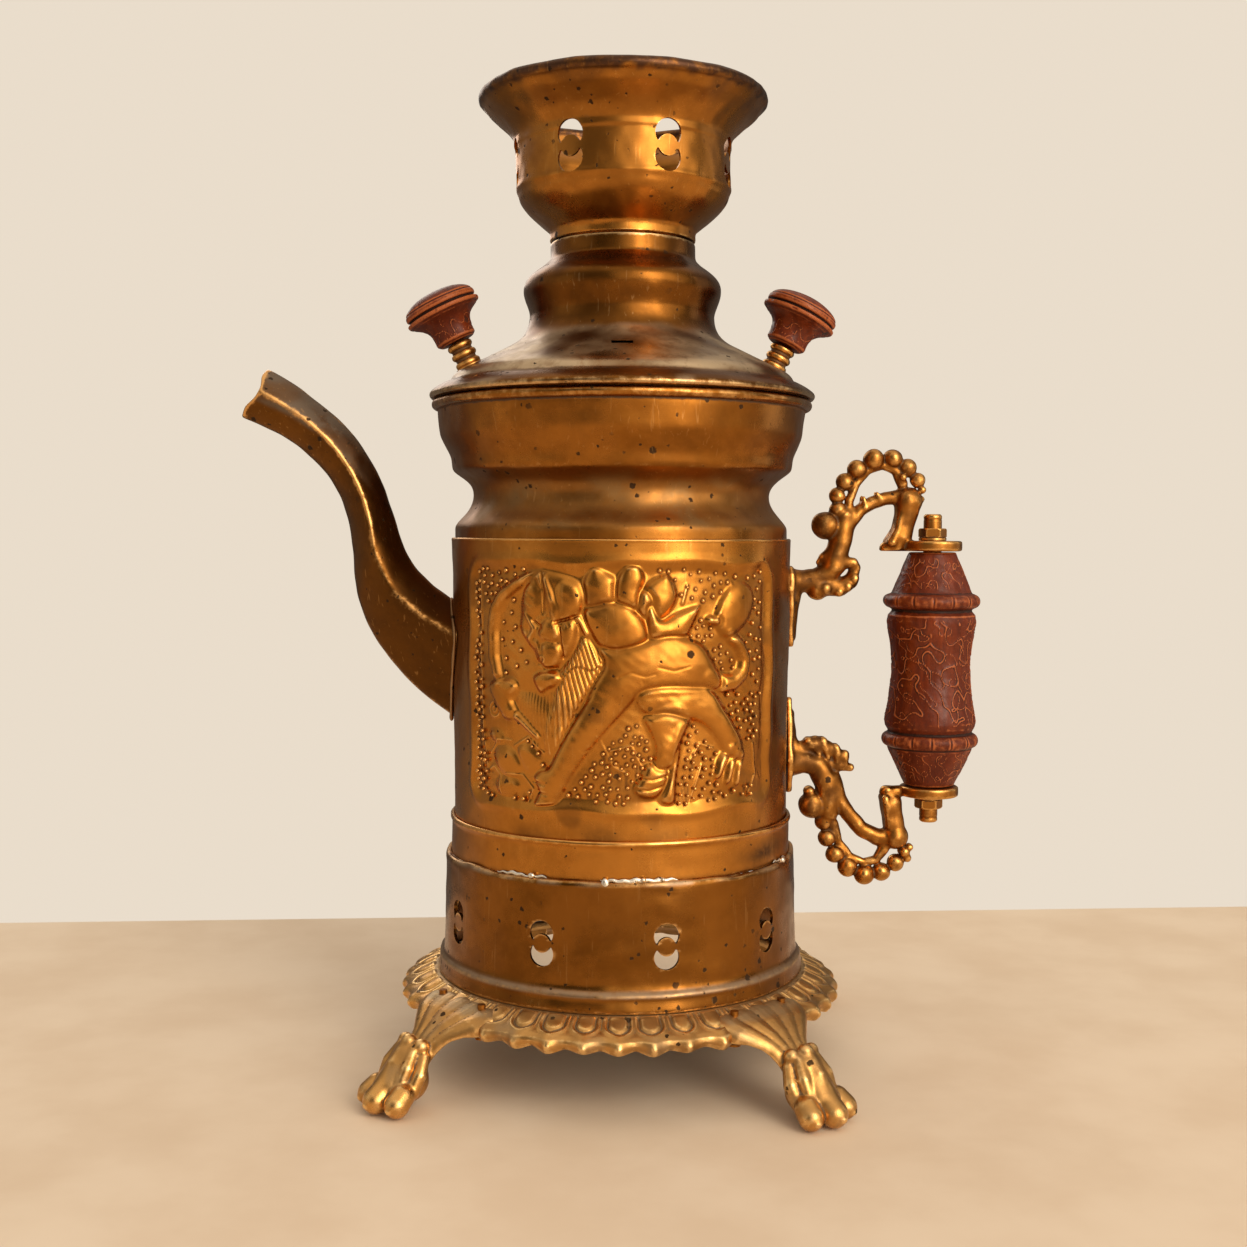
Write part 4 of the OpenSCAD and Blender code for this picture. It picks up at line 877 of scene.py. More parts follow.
SUN_FORMS = [
    ([(-13.5, 30), (-14.5, 36), (-14.5, 42), (-10.5, 46), (-10.5, 46), (-6.5, 44.5), (-2, 41.5), (-2, 41.5),
      (-2, 31), (-6, 29)], 2.1, 6.5, 0.75, 0.3),
    ([(6, 28), (7, 35), (10, 40), (17.5, 43.5), (17.5, 43.5), (20.5, 39.5), (22, 34), (18, 28), (13, 25)],
      2.1, 5.5, 0.75, 0.3),
    ([(4, 30), (5, 35), (8.5, 37.5), (11.5, 35), (12.5, 30), (10, 26)], 1.7, 3.5, 0.2, 0.3),
    ([(-2, 32), (-2, 40), (0.5, 45.5), (4.5, 46.8), (8, 45), (9, 41), (6.5, 36), (6, 29), (1, 29)],
      2.4, 5.0, 0.45, 0.2),
    ([(-14.5, 30), (-10, 30.5), (-5.5, 32), (-1, 32), (4.5, 30), (8.5, 26), (11, 20), (7.5, 15.5), (2.5, 14),
      (-3, 13.5), (-7, 14.5), (-10.5, 19), (-13.5, 24.5)], 3.1, 10.0, 0, 0.2),
    ([(10.5, 21), (10, 30.5), (12, 31.5), (13.5, 27), (16, 25), (21.5, 28.5), (31.5, 31.5), (31.5, 31.5),
      (29, 25.5), (25.5, 19), (20.5, 17.5), (15, 17.5), (11.5, 18)], 2.2, 4.5, 0.4, 0.2),
]
LION_FORMS = [
    ([(36, 3), (42, 0.8), (47.5, 1), (52.5, 4.5), (53.5, 10), (50, 15.5), (44.5, 20)],
      2.3, (4, 3.4, 3.1, 3, 2.8, 2.5, 2.2), 0, 0.3),
    ([(37, 26), (38.5, 29.5), (44, 37.5), (50.5, 40.5), (57, 37.5), (59, 31.5), (55, 24.5), (47.5, 19.5),
      (41.5, 18.5), (39, 22)], 2.9, 9.0, 0.25, 0.3),
    ([(35.5, 25.4), (38, 25)], 1.8, (1.6, 1.6), 0, 0.4),
    ([(27, -12), (24, -20), (22.8, -27), (21.8, -34), (21.6, -40), (21.5, -45), (15.2, -44.5), (16.2, -40),
      (18.6, -33), (19.5, -24), (20.5, -14)], 2.1, 2.6, 0, 0.3),
    ([(10, -28.5), (19, -29.5), (18.5, -35), (15, -42.5), (7, -42), (5, -38), (8.5, -33.5)],
      2.0, 4.0, 0.1, 0.3),
    ([(8.5, -12), (11, -9.5), (17.5, -6), (23, -6), (29, -11), (25, -17), (21, -25), (20, -31), (12.8, -30.5),
      (14, -23.5), (12, -17.5)], 2.5, 4.5, 0.15, 0.4),
    ([(-8.5, 15.5), (-8.5, 15.5), (-3, 14), (3, 15), (11.5, 18), (18, 19.5), (25, 19), (32.5, 16.5), (37, 10),
      (41, 3.5), (41, -1.5), (28, -2.5), (17, -2.5), (10, -3), (5.5, -4), (1.5, -8.5), (-9.5, -20.5),
      (-20.5, -35.5), (-25.5, -46.5), (-36.5, -47), (-32, -40), (-36, -36.5), (-33.5, -33), (-28.5, -32),
      (-25.5, -25.5), (-20, -16), (-13.5, -6), (-10.5, 1.5), (-5.5, 8.5)], 2.8, 8.5, 0.2, 0.2),
    ([(46, -25), (42, -30), (40, -35)], 1.9, (2.6, 2, 1), 0, 0.2),
    ([(49, -27), (46.5, -31.5), (45, -37.5)], 1.9, (2.4, 1.8, 0.9), 0, 0.2),
    ([(52, -28), (50.8, -33), (50, -38.5)], 1.7, (2.2, 1.6, 0.9), 0, 0.2),
    ([(5.5, -3.5), (9, -0.5), (17, 0.6), (28, 0), (37, -0.5), (43.5, -9.5), (50, -18), (54, -24.5),
      (52.5, -30), (44, -27), (40, -21), (34.5, -15), (29, -12.5), (20, -9.5), (16, -9), (10.5, -10.5),
      (6.5, -7.5)], 2.5, 6.0, 0.15, 0.4),
    ([(-31, 43.5), (-37, 41.5), (-42.5, 38.8), (-50, 34.5), (-54.5, 29), (-56, 21), (-55.5, 10), (-52.5, 1)],
      2.2, (1.2, 1.7, 2.2, 2.7, 3, 3, 2.7, 2.2), 0, 0.3),
    ([(-59.5, -0.5), (-52, 2), (-43.5, 1.5), (-43, -2.5), (-46.5, -6), (-42.5, -10.5), (-42, -13.2),
      (-49, -14.5), (-52.5, -10.5), (-56.5, -5.5)], 2.2, 4.0, 0.2, 0.3),
    ([(-43, -12.5), (-38, -16), (-33, -20)], 1.3, (1.7, 1.1, 0.6), 0, 0.4),
]
FACE_FORMS = [
    ([(-39.5, 35), (-37, 40.5), (-31.5, 44.5), (-24, 43.5), (-17.5, 41), (-14, 36.5), (-14.5, 32),
      (-16, 27.5), (-17, 22.5), (-18.5, 15.5), (-22.5, 9.5), (-25.5, 6.5), (-30.5, 6), (-33, 8.5),
      (-34.5, 13), (-38.5, 17.5), (-42, 22), (-40.5, 27), (-41, 31.5)], 1.9, 6.0, 0, 0.25),
    ([(-36, 3), (-33, 5), (-30.5, 5.5), (-25.5, 6), (-23, 3.5), (-25, 0.5), (-30, -1.5), (-32, -3.5)],
      2.2, 3.2, 0.1, 0.3),
    ([(-24.5, 40.5), (-18, 40), (-14.5, 35), (-15.5, 28.5), (-20, 26), (-24.5, 25.5), (-25, 31)],
      1.1, 4.5, 0, 0.85),
    ([(-39.5, 38.5), (-34, 40), (-31.5, 35), (-31, 28.5), (-35, 26), (-39.5, 30.5)], 1.0, 4.0, 0, 0.85),
    ([(-29.5, 41.5), (-27.5, 35.5), (-25.6, 30), (-25.6, 26)], 1.3, (0.7, 1.4, 1.8, 1.4), 0, 0.85),
    ([(-24.5, 23), (-18, 26), (-16.2, 21), (-18, 14.5), (-21.5, 10), (-23.4, 16)], 1.1, 3.2, 0, 0.8),
    ([(-41.5, 22), (-36.5, 21), (-33, 17), (-34, 13.5), (-38, 16.5)], 0.8, 2.6, 0, 0.8),
    ([(-31.5, 15.5), (-28, 18), (-23.5, 16.5), (-22.6, 12.5), (-24.5, 8), (-28, 6.6), (-31, 8)],
      1.6, 3.2, 0.1, 0.8),
    ([(-32, 22.5), (-29, 26), (-25.5, 25.5), (-23.3, 21.5), (-23.3, 18.5), (-27, 16.2), (-31.5, 18)],
      1.9, 3.4, 0.15, 0.8),
    ([(-17, 27.6), (-15, 24), (-13, 20)], 1.4, (0.7, 0.9, 0.6), 0, 0.6),
    ([(-38.5, 28.5), (-36, 25), (-34, 22), (-36.5, 18)], 1.2, (0.5, 0.9, 0.9, 0.5), 0, 0.8),
    ([(-33.4, 17), (-32, 13.5), (-31.4, 11)], 1.0, (0.6, 0.8, 0.5), 0, 0.8),
]
# Chased lines: their stops, their half width and how deep they go, or with a minus sign how far they rise.
CHASED = [
    ([(-25, 24.8), (-21, 25.8), (-16.6, 27.4)], 0.55, 1.2),
    ([(-32.8, 8.8), (-30, 6.8), (-25.2, 7.2)], 0.5, 0.9),
    ([(-31.3, 43.5), (-30.2, 36), (-29.8, 28)], 0.5, 0.8), ([(-33.5, 41), (-31.5, 37)], 0.4, 0.5),
    ([(-28.8, 17.7), (-27.2, 17.2)], 0.7, 0.9), ([(-34.4, 24.8), (-30.6, 22.4)], 0.6, 0.9),
    ([(-23.6, 23), (-22.9, 17), (-22.4, 11)], 0.45, 0.8), ([(-38, 33), (-35, 31)], 0.35, 0.4),
    ([(-37.5, 36), (-34, 34)], 0.35, 0.4), ([(-22.5, 24), (-21.6, 22.6)], 0.3, 0.5),
    ([(-20.4, 24.6), (-19.6, 23.2)], 0.3, 0.5), ([(-35.5, -36.8), (-30, -37.8)], 0.5, 0.8),
    ([(-33, -41), (-29, -41.6)], 0.5, 0.8), ([(-1, 4), (4, 6), (9, 4.5), (13, 5.5)], 0.35, 0.3),
    ([(8, 3), (8.4, 1.4), (9.4, 2.4)], 0.3, 0.35), ([(-16, -22), (-14.5, -24.5), (-12, -23.5)], 0.3, 0.3),
    ([(-22, -20), (-17, -10.5), (-11, -3)], 0.5, 0.25), ([(7.5, -34), (12, -35), (18, -33.5)], 0.5, 0.6),
    ([(6.5, -38.5), (11, -39), (16, -37.5)], 0.5, 0.6), ([(38.6, 27), (41.2, 33), (46, 39)], 0.9, -0.5),
    ([(14, 8), (20, 6.5), (26, 8)], 0.4, 0.25),
    ([(-64, 40), (-64.5, 10), (-63.5, -20), (-61, -34)], 0.5, -0.45),
    ([(-59, -28), (-54, -22), (-47, -22)], 0.35, -0.4), ([(-45, -24), (-38, -20), (-31, -26)], 0.35, -0.4),
    ([(-49, -35), (-41, -35), (-36, -40), (-38, -45)], 0.35, -0.4),
    ([(-62, -36), (-57, -33), (-53, -36), (-52, -43)], 0.4, -0.4),
    ([(-9, -18), (-3, -30), (3, -33)], 0.35, -0.35), ([(-4, -24), (4, -22), (8, -30)], 0.3, -0.35),
    ([(24, 32), (26, 39)], 0.6, -0.4), ([(28, -28), (32, -22), (38, -24)], 0.4, -0.35),
    ([(28, -44), (31, -36), (33, -30)], 0.4, -0.4), ([(60, -24), (62, -36), (58, -44)], 0.5, -0.4),
]
# Where the ground is punched with beads, and how far apart they are.
PUNCHED = [
    ([(-71, 45), (-64.5, 45), (-64, 10), (-63, -22), (-60, -36), (-60, -45), (-71, -45)], 2.0),
    ([(-64, 46), (-42, 46), (-46, 36), (-60, 28)], 2.3), ([(-44, 47), (-14, 47), (-15, 44), (-40, 41)], 3.0),
    ([(9.5, 47), (62, 45), (64, 40), (62, 36), (50, 41), (42, 37), (36, 31), (30, 33), (23, 34), (20, 42),
      (12, 44)], 2.8),
    ([(27, 19), (34, 16), (38, 20), (38, 24), (35, 28), (30, 24)], 1.9),
    ([(57, 45), (64, 44), (64, -6), (56, 6), (54, 20), (60, 30)], 2.7),
    ([(37, 6), (44, 4.5), (50, 7), (50, 11), (46, 14), (40, 17), (35, 14)], 2.4),
    ([(44, -3), (62, -4), (62, -22), (56, -22), (46, -10)], 2.4),
    ([(6, -12), (10, -20), (12, -27), (8, -32), (3, -40), (3, -45.5), (-24, -45.5), (-18, -38), (-8, -26)],
      2.1),
    ([(25, -22), (29, -15), (36, -20), (41, -27), (38, -36), (44, -42), (60, -40), (58, -46), (23, -46),
      (24, -32)], 2.3),
    ([(-52, 30), (-43, 34), (-42, 20), (-36, 12), (-42, 2), (-51, 4)], 4.4),
    ([(-38, -19), (-31, -27), (-31, -31), (-36, -31), (-41, -24)], 2.2),
    ([(-66, -42), (-50, -45), (-37, -42), (-36, -38), (-40, -46), (-66, -46)], 2.3),
]
# How many places are tried for the beads.
BEAD_TRIES = 16000
# How full the forms are, and the height that the highest come near.
FULLNESS, HIGHEST = 1.45, 4.8
# How softly the sheet follows the forms and the hair.
FORM_SOFTNESS, HAIR_SOFTNESS = 0.85, 0.3
# Where the mane's strands would meet.
MANE_U, MANE_V = -31, 59
# The relief is worked out on a raster over the panel, in mm.
RASTER = 0.25
RASTER_U, RASTER_V = np.arange(-76, 76.1, RASTER), np.arange(-50, 50.1, RASTER)


def rounded(corners):
    """A closed outline whose corners are cut so that it flows. A corner that is given twice stays sharp."""
    p = np.array(corners, float)
    for _ in range(2):
        q = np.roll(p, -1, 0)
        p = np.stack([0.75 * p + 0.25 * q, 0.25 * p + 0.75 * q], 1).reshape(-1, 2)
    return p


def inside(u, v, corners):
    """Whether places lie in a closed outline."""
    found = np.zeros(u.shape, bool)
    for (x0, y0), (x1, y1) in zip(corners, np.roll(corners, -1, 0)):
        if y0 != y1:
            found ^= ((y0 > v) != (y1 > v)) & (u < (x1 - x0) * (v - y0) / (y1 - y0) + x0)
    return found


def depths(u, v, outline):
    """How far inside an outline places are: truly, with minus outside, and smoothly, without ridges."""
    away, pull = np.full(u.shape, 1e9), np.full(u.shape, 1e-9)
    for (x0, y0), (x1, y1) in zip(outline, np.roll(outline, -1, 0)):
        dx, dy = x1 - x0, y1 - y0
        long = math.hypot(dx, dy)
        if long > 1e-6:
            t = np.clip(((u - x0) * dx + (v - y0) * dy) / long ** 2, 0, 1)
            away = np.minimum(away, np.hypot(u - x0 - t * dx, v - y0 - t * dy))
            aside = np.maximum(np.abs((u - x0) * dy - (v - y0) * dx) / long, 1e-6)
            pull += np.arctan2(aside * long, (u - x0) * (u - x1) + (v - y0) * (v - y1)) / aside
    within = inside(u, v, outline)
    return np.where(within, away, -away), np.where(within, math.pi / pull, 0)


def along(u, v, stops, radii):
    """How far inside a rounded line places are, and its radius there."""
    best, reach = np.full(u.shape, -1e9), np.ones(u.shape)
    for (x0, y0), (x1, y1), ra, rb in zip(stops[:-1], stops[1:], radii[:-1], radii[1:]):
        dx, dy = x1 - x0, y1 - y0
        t = np.clip(((u - x0) * dx + (v - y0) * dy) / (dx * dx + dy * dy), 0, 1)
        r = ra + (rb - ra) * t
        deep = r - np.hypot(u - x0 - t * dx, v - y0 - t * dy)
        nearer = deep > best
        best, reach = np.where(nearer, deep, best), np.where(nearer, r, reach)
    return best, reach


def window(points, margin):
    """The part of the raster round some points."""
    low, high = np.min(points, 0) - margin, np.max(points, 0) + margin
    rows = slice(*np.searchsorted(RASTER_V, (low[1], high[1])))
    columns = slice(*np.searchsorted(RASTER_U, (low[0], high[0])))
    return (rows, columns), *np.meshgrid(RASTER_U[columns], RASTER_V[rows])


def lay(height, hair, form):
    """Lays one raised form over the relief and its hair, and presses what lies below it flat."""
    shape, rise, shoulder, ridge, kept = form
    part, u, v = window(shape, 6)
    if isinstance(shoulder, tuple):
        deep, width = along(u, v, shape, shoulder)
        soft = deep
    else:
        deep, soft = depths(u, v, rounded(shape))
        width, soft = shoulder, soft * (1 - ridge) + deep * ridge
    swell = FULLNESS * rise * np.sqrt(1 - (1 - np.clip(soft / width, 0, 1)) ** 2)
    press = np.where(deep > 0, kept, 1 - (1 - kept) * np.exp(-deep ** 2))
    height[part] = height[part] * press + swell
    hair[part] *= press


def softened(height, spread):
    """The relief with its corners eased over a width in mm, as sheet that was hammered from behind."""
    away = np.arange(-10, 11) * RASTER
    share = np.exp(-(away / spread) ** 2)
    share /= share.sum()
    for axis in (0, 1):
        height = np.apply_along_axis(np.convolve, axis, height, share, "same")
    return height


def draw_picture():
    """The relief's height above its ground, on the raster, and where beads may not stand."""
    height, hair = np.zeros((2, len(RASTER_V), len(RASTER_U)))
    for form in GROUND_FORMS:
        lay(height, hair, form)
    u, v = np.meshgrid(RASTER_U, RASTER_V)
    turn, reach = np.arctan2(u - MANE_U, MANE_V - v), np.hypot(u - MANE_U, MANE_V - v)
    step = 0.5 * (reach > 54.5 + 1.5 * np.sin(u / 2.2))
    strands = np.abs(np.sin(math.pi * (turn / 0.0335 + step + 0.12 * np.sin(v / 4.0))))
    mane = inside(u, v, rounded(GROUND_FORMS[5][0]))
    hair += np.where(mane & (u > -26), strands - 0.45, 0)
    fur = np.sin(math.pi * (turn / 0.011 + 0.6 * np.sin(v / 6.0 + u / 9)))
    chest = inside(u, v, rounded([(-40.5, -2.5), (-30, -2), (-24, 2), (-26, -6), (-30, -25), (-34, -26),
                                  (-38, -19), (-43, -10)]))
    hair += np.where((mane & (u <= -26)) | chest, 0.16 * fur, 0)
    for form in SUN_FORMS + LION_FORMS + FACE_FORMS:
        lay(height, hair, form)
    height = softened(height, FORM_SOFTNESS) + softened(hair, HAIR_SOFTNESS)
    rings = ((-30.5, 10.5), 1.15, 10), ((-56, -10.5), 3.0, 14), ((-56, -10.5), 1.2, 8)
    chased = CHASED + [(arc(middle, r, 0, 360, n), 0.4, -0.5) for middle, r, n in rings]
    for stops, half, deep in chased:
        part, u, v = window(stops, 3)
        height[part] -= deep * np.exp(-((half - along(u, v, stops, [half] * len(stops))[0]) / half) ** 2)
    return HIGHEST * np.tanh(height / HIGHEST)


def at_places(raster, u, v):
    """The raster's values at places, blended between its cells."""
    x = np.clip((u - RASTER_U[0]) / RASTER, 0, len(RASTER_U) - 1.001)
    y = np.clip((v - RASTER_V[0]) / RASTER, 0, len(RASTER_V) - 1.001)
    i, j = x.astype(int), y.astype(int)
    s, t = x - i, y - j
    upper = raster[j + 1, i] * (1 - s) + raster[j + 1, i + 1] * s
    return (raster[j, i] * (1 - s) + raster[j, i + 1] * s) * (1 - t) + upper * t


def panel_frame(u, v):
    """How far inside the panel's border a place is, in mm."""
    corner, half_u, half_v = 8.0, BARREL_R * math.radians(PANEL_SPAN), PANEL_H / 2
    wander_u = 0.6 * np.sin(v / 9 + 1) + 0.4 * np.sin(v / 4.1)
    wander_v = 0.7 * np.sin(u / 11) + 0.4 * np.sin(u / 5.3 + 2)
    x, y = np.abs(u) - (half_u + wander_u - corner), np.abs(v) - (half_v + wander_v - corner)
    return corner - np.hypot(np.maximum(x, 0), np.maximum(y, 0)) - np.minimum(np.maximum(x, y), 0)


def panel_height(u, v, relief):
    """The barrel's raised work, as a height from its plain surface."""
    depth = panel_frame(u, v)
    sunk = ease(-0.8, 3.2, depth)
    lip = 0.4 * np.exp(-((depth + 1.6) / 1.6) ** 2) - 0.15 * np.exp(-((depth - 3.8) / 1.4) ** 2)
    ground = np.stack([u, v, 0 * u], -1)
    uneven = 0.09 * unevenness(ground, 13, 71) + 0.03 * unevenness(ground, 4.5, 72)
    return lip + sunk * (-0.95 + uneven) + at_places(relief, u, v) * ease(0.0, 1.4, depth)


def panel_places(phi):
    """Each angle's place across the nearer panel, in mm."""
    across = (phi - PANEL_TURN + 90) % 180 - 90
    return BARREL_R * np.radians(across)


def scatter_beads(relief):
    """Places of the punched beads: crowded where the ground is punched, never on the raised work."""
    draw = np.random.default_rng(7)
    reach = (-71, 66), (-46.5, 47.5), (0.62, 0.98)
    u, v, size = (draw.uniform(low, high, BEAD_TRIES) for low, high in reach)
    apart = np.full(u.shape, 99.0)
    for corners, gap in PUNCHED:
        apart = np.where(inside(u, v, np.array(corners, float)), np.minimum(apart, gap), apart)
    free = (panel_frame(u, v) > 2.4) & (apart < 50)
    for du, dv in ((0, 0), (1, 0), (-1, 0), (0, 1), (0, -1)):
        free &= at_places(relief, u + du, v + dv) < 0.5
    found = np.zeros((0, 3))
    for place, gap in zip(np.stack([u, v, size], -1)[free], apart[free]):
        gap *= 0.85 + 0.4 * place[2]
        if len(found) == 0 or ((found[:, :2] - place[:2]) ** 2).sum(1).min() > gap * gap:
            found = np.vstack([found, place])
    return found


def make_barrel():
    top, low = SEAM_Z, BARREL_BASE - 8
    relief = draw_picture()
    beads = scatter_beads(relief)
    outline = [(BARREL_FOOT_R - 0.2, low), (BARREL_FOOT_R - 0.1, BARREL_BASE), (BARREL_R, top - 1.5),
               (70.9, top - 0.6), (70.5, top - 0.1), (69.75, top - 0.1), (69.6, top - 0.4),
               (68.7, BARREL_BASE), (68.6, low)]
    line = dense(outline, 0.42, 1)
    inner = line[:, 0] < np.interp(line[:, 1], [low, top], [BARREL_FOOT_R - 0.6, BARREL_R - 0.7])
    keep = ~inner | (np.arange(len(line)) % 9 == 0)
    line, inner = line[keep], inner[keep]
    half = np.concatenate([np.arange(-60, 60, 0.34), np.arange(60, 120, 1.0)]) + PANEL_TURN
    angles = np.concatenate([half, half + 180])
    phi, r, z = turned_places(line, angles)
    u, v = panel_places(phi), z - PANEL_Z
    worked = ~inner[:, None] & (np.abs(v) < PANEL_H / 2 + 9)
    r = r + np.where(worked, panel_height(u, v, relief), 0) * ease(9, 5, np.abs(v) - PANEL_H / 2)
    r, z = dented(0.16, 75, 34)(phi, r, z)
    barrel = mesh_object("barrel_dressed", round_about(phi, r, z), grid_faces(len(line), len(angles)))
    holes = []
    a = np.arange(12) * math.pi / 6
    for row in range(-2, 2):
        for column in range(-1, 2):
            rim = np.stack([0 * a, column * STRAINER_PITCH + STRAINER_R * np.cos(a),
                            STRAINER_Z + row * STRAINER_PITCH + STRAINER_R * np.sin(a)], -1)
            holes.append(prism("hole", rim - (BARREL_R + 4, 0, 0), rim - (BARREL_R - 6, 0, 0)))
    carve(barrel, [join("holes", holes)])
    on_wall = []
    for side in (0, 180):
        for u0, v0, size in beads:
            phi, r = math.degrees(u0 / BARREL_R) + PANEL_TURN + side, BARREL_R - 0.95 + 0.1 * size
            on_wall.append((round_about(phi, np.array(r), np.array(v0 + PANEL_Z)), size * 0.98))
    barrel = join("barrel_dressed", [barrel, balls("beads", on_wall)])
    # Rings round the beads, for painted shade of their punched grooves, which the mesh does not hold.
    painted_ring_shade = np.zeros(relief.shape)
    for u0, v0, size in beads:
        part, u, v = window([(u0, v0)], 2)
        painted_ring_shade[part] = np.maximum(painted_ring_shade[part], np.exp(-((np.hypot(u - u0, v - v0) - size * 1.08) / 0.45) ** 2))

    def stain_and_painted_light(p):
        u, v = panel_places(angle_of(p)), p[:, 2] - PANEL_Z
        # Painted shade in a ring round each bead.
        punched = 0.9 * at_places(painted_ring_shade, u, v) * (np.hypot(p[:, 0], p[:, 1]) < BARREL_R - 0.5)
        edges = 0.55 * ease(0.1, 1.0, unevenness(p * (1, 1, 0.4), 30, 77)) * ease(112, 104, p[:, 2])
        return np.maximum(punched, edges + 0.4 * ease(0.75, 1.4, unevenness(p, 26, 78)))
    dress(barrel, BARREL_BRASS, "vessel", ["barrel"], stain_and_painted_light=stain_and_painted_light, crease=80)


make_crown()
make_lid()
make_neck()
make_collar()
make_band()
make_barrel()


# ---------------------------------------------------------------- foot ring and paws

# How many tongues the ring has, the radius that their pitch is taken at, their length and half their width.
GADROONS, GADROON_R, TONGUE, TONGUE_W = 42, 83.5, 3.9, 3.9
# The legs' angles from the front, towards the grip.
LEGS = {"paw_front_left": -53, "paw_front_right": 37, "paw_rear_right": 127, "paw_rear_left": 217}


def gadroon(phi, r, z):
    """The ring's worked surface: round-ended tongues on its slope and a knobbly lip."""
    turns = phi / 360 * GADROONS
    number = np.floor(turns)
    pitch = 2 * math.pi * GADROON_R / GADROONS
    draw = np.random.default_rng(15)
    shift, fat, knob = (draw.uniform(-1, 1, GADROONS)[number.astype(int) % GADROONS] for _ in range(3))
    across = (turns - number - 0.5) * pitch + 0.5 * shift
    w = TONGUE_W + 0.3 * fat
    d = np.hypot(across, np.maximum(r - (RING_SEAT + 1.0) - TONGUE, 0)) - w
    tongue = 0.95 * np.sqrt(np.clip(1 - (1 + d / w) ** 2, 0, 1)) * (d < 0)
    groove = -0.5 * np.exp(-(d / 0.6) ** 2)
    rim = 0.55 * np.exp(-((d - 1.5) / 0.8) ** 2)
    slope = ease(RING_SEAT + 0.2, RING_SEAT + 1.6, r) * ease(90.2, 88.6, r) * (z > 31.6)
    lobe = 0.5 + 0.5 * np.cos(2 * math.pi * (across / pitch))
    second = 0.5 + 0.5 * np.cos(4 * math.pi * (across / pitch))
    edge = ease(86.5, 89.6, r)
    out = edge * ((1.5 + 0.5 * knob) * lobe ** 0.8 + 0.35 * second - 0.9)
    facet = np.exp(-((across - 0.8 * knob) / 1.7) ** 2) * np.exp(-((z - 29.4) / 1.5) ** 2) * (r > 89)
    down = -ease(31.5, 28.0, z) * edge * ((1.5 + 0.5 * fat) * lobe ** 0.7 - 0.5)
    return r + out + 0.9 * facet, z + down + slope * (tongue + groove + rim)


def make_ring():
    outline = [(RING_IN, 34.3), (RING_IN, COLLAR_BASE - 0.05), (RING_SEAT, COLLAR_BASE - 0.05),
               (RING_R - 2.0, 32.6), (RING_R - 0.4, 31.4), (RING_R, 30.0), (RING_R - 0.4, 27.9),
               (RING_R - 1.4, 27.1), (RING_R - 3.2, 27.3), (RING_R - 4.4, 29.2), (COLLAR_FOOT_R, 34.3)]
    line = dense(outline, 0.5, 1)
    under = (line[:, 1] < np.interp(line[:, 0], [RING_IN, 88], [35, 28.6])) | (line[:, 0] < COLLAR_FOOT_R - 1)
    line = line[~under | (np.arange(len(line)) % 4 == 0)]
    sides = GADROONS * 26
    phi, r, z = turned_places(line, np.arange(sides) * 360.0 / sides)
    r, z = gadroon(phi, r, z)
    z = z + 0.12 * unevenness(round_about(phi, r, z), 9, 91) * (r > 80)
    ring = mesh_object("foot_ring_dressed", round_about(phi, r, z), grid_faces(len(line), sides))

    def stain_and_painted_light(p):
        r = np.hypot(p[:, 0], p[:, 1])
        seat = ease(RING_SEAT + 2.4, RING_SEAT + 0.4, r) * (p[:, 2] > 36)
        return np.maximum(0.85 * seat, 0.45 * ease(0.2, 1.1, unevenness(p, 21, 92)))
    dress(ring, FOOT_BRASS, "vessel", ["foot_ring"], bend_rounds=1, stain_and_painted_light=stain_and_painted_light)


def fan(p):
    """A leg's upper part, which spreads over the ring and is fluted towards the ankle."""
    a, b, c = p[:, 0], p[:, 1], p[:, 2]
    top = np.interp(b, [78, 84, 90, 95, 100, 104, 108], [37.2, 35.8, 33.4, 30.2, 26.2, 21.5, 17])
    low = np.interp(b, [78, 84, 88, 92, 96, 100, 104, 108], [29, 27.6, 27.0, 26.0, 23.3, 18.5, 12.5, 7])
    w = np.interp(b, [78, 86, 90, 94, 98, 102, 106, 108], [23.5, 22.0, 19.4, 15.0, 10.6, 7.9, 6.8, 6.4])
    share = a / w
    flutes = np.abs(np.cos(math.pi * 2.5 * share)) ** 0.7
    vein = np.abs(np.cos(math.pi * 7.5 * share)) ** 0.5
    ribs = (flutes + 0.22 * vein) * ease(77, 82, b) * (0.55 + 0.45 * ease(104, 92, b))
    top = top - 2.4 * share ** 4 - 0.5 + ribs
    low = low + 2.4 * share ** 2 * ease(84, 98, b)
    sides = (np.abs(a) - w) * 0.85
    body = -melt([-sides, -(c - top) * 0.86, -(low - c) * 0.8], 1.3)
    return np.maximum(body, np.maximum(RING_SEAT + 1.2 - b, b - 107.5))


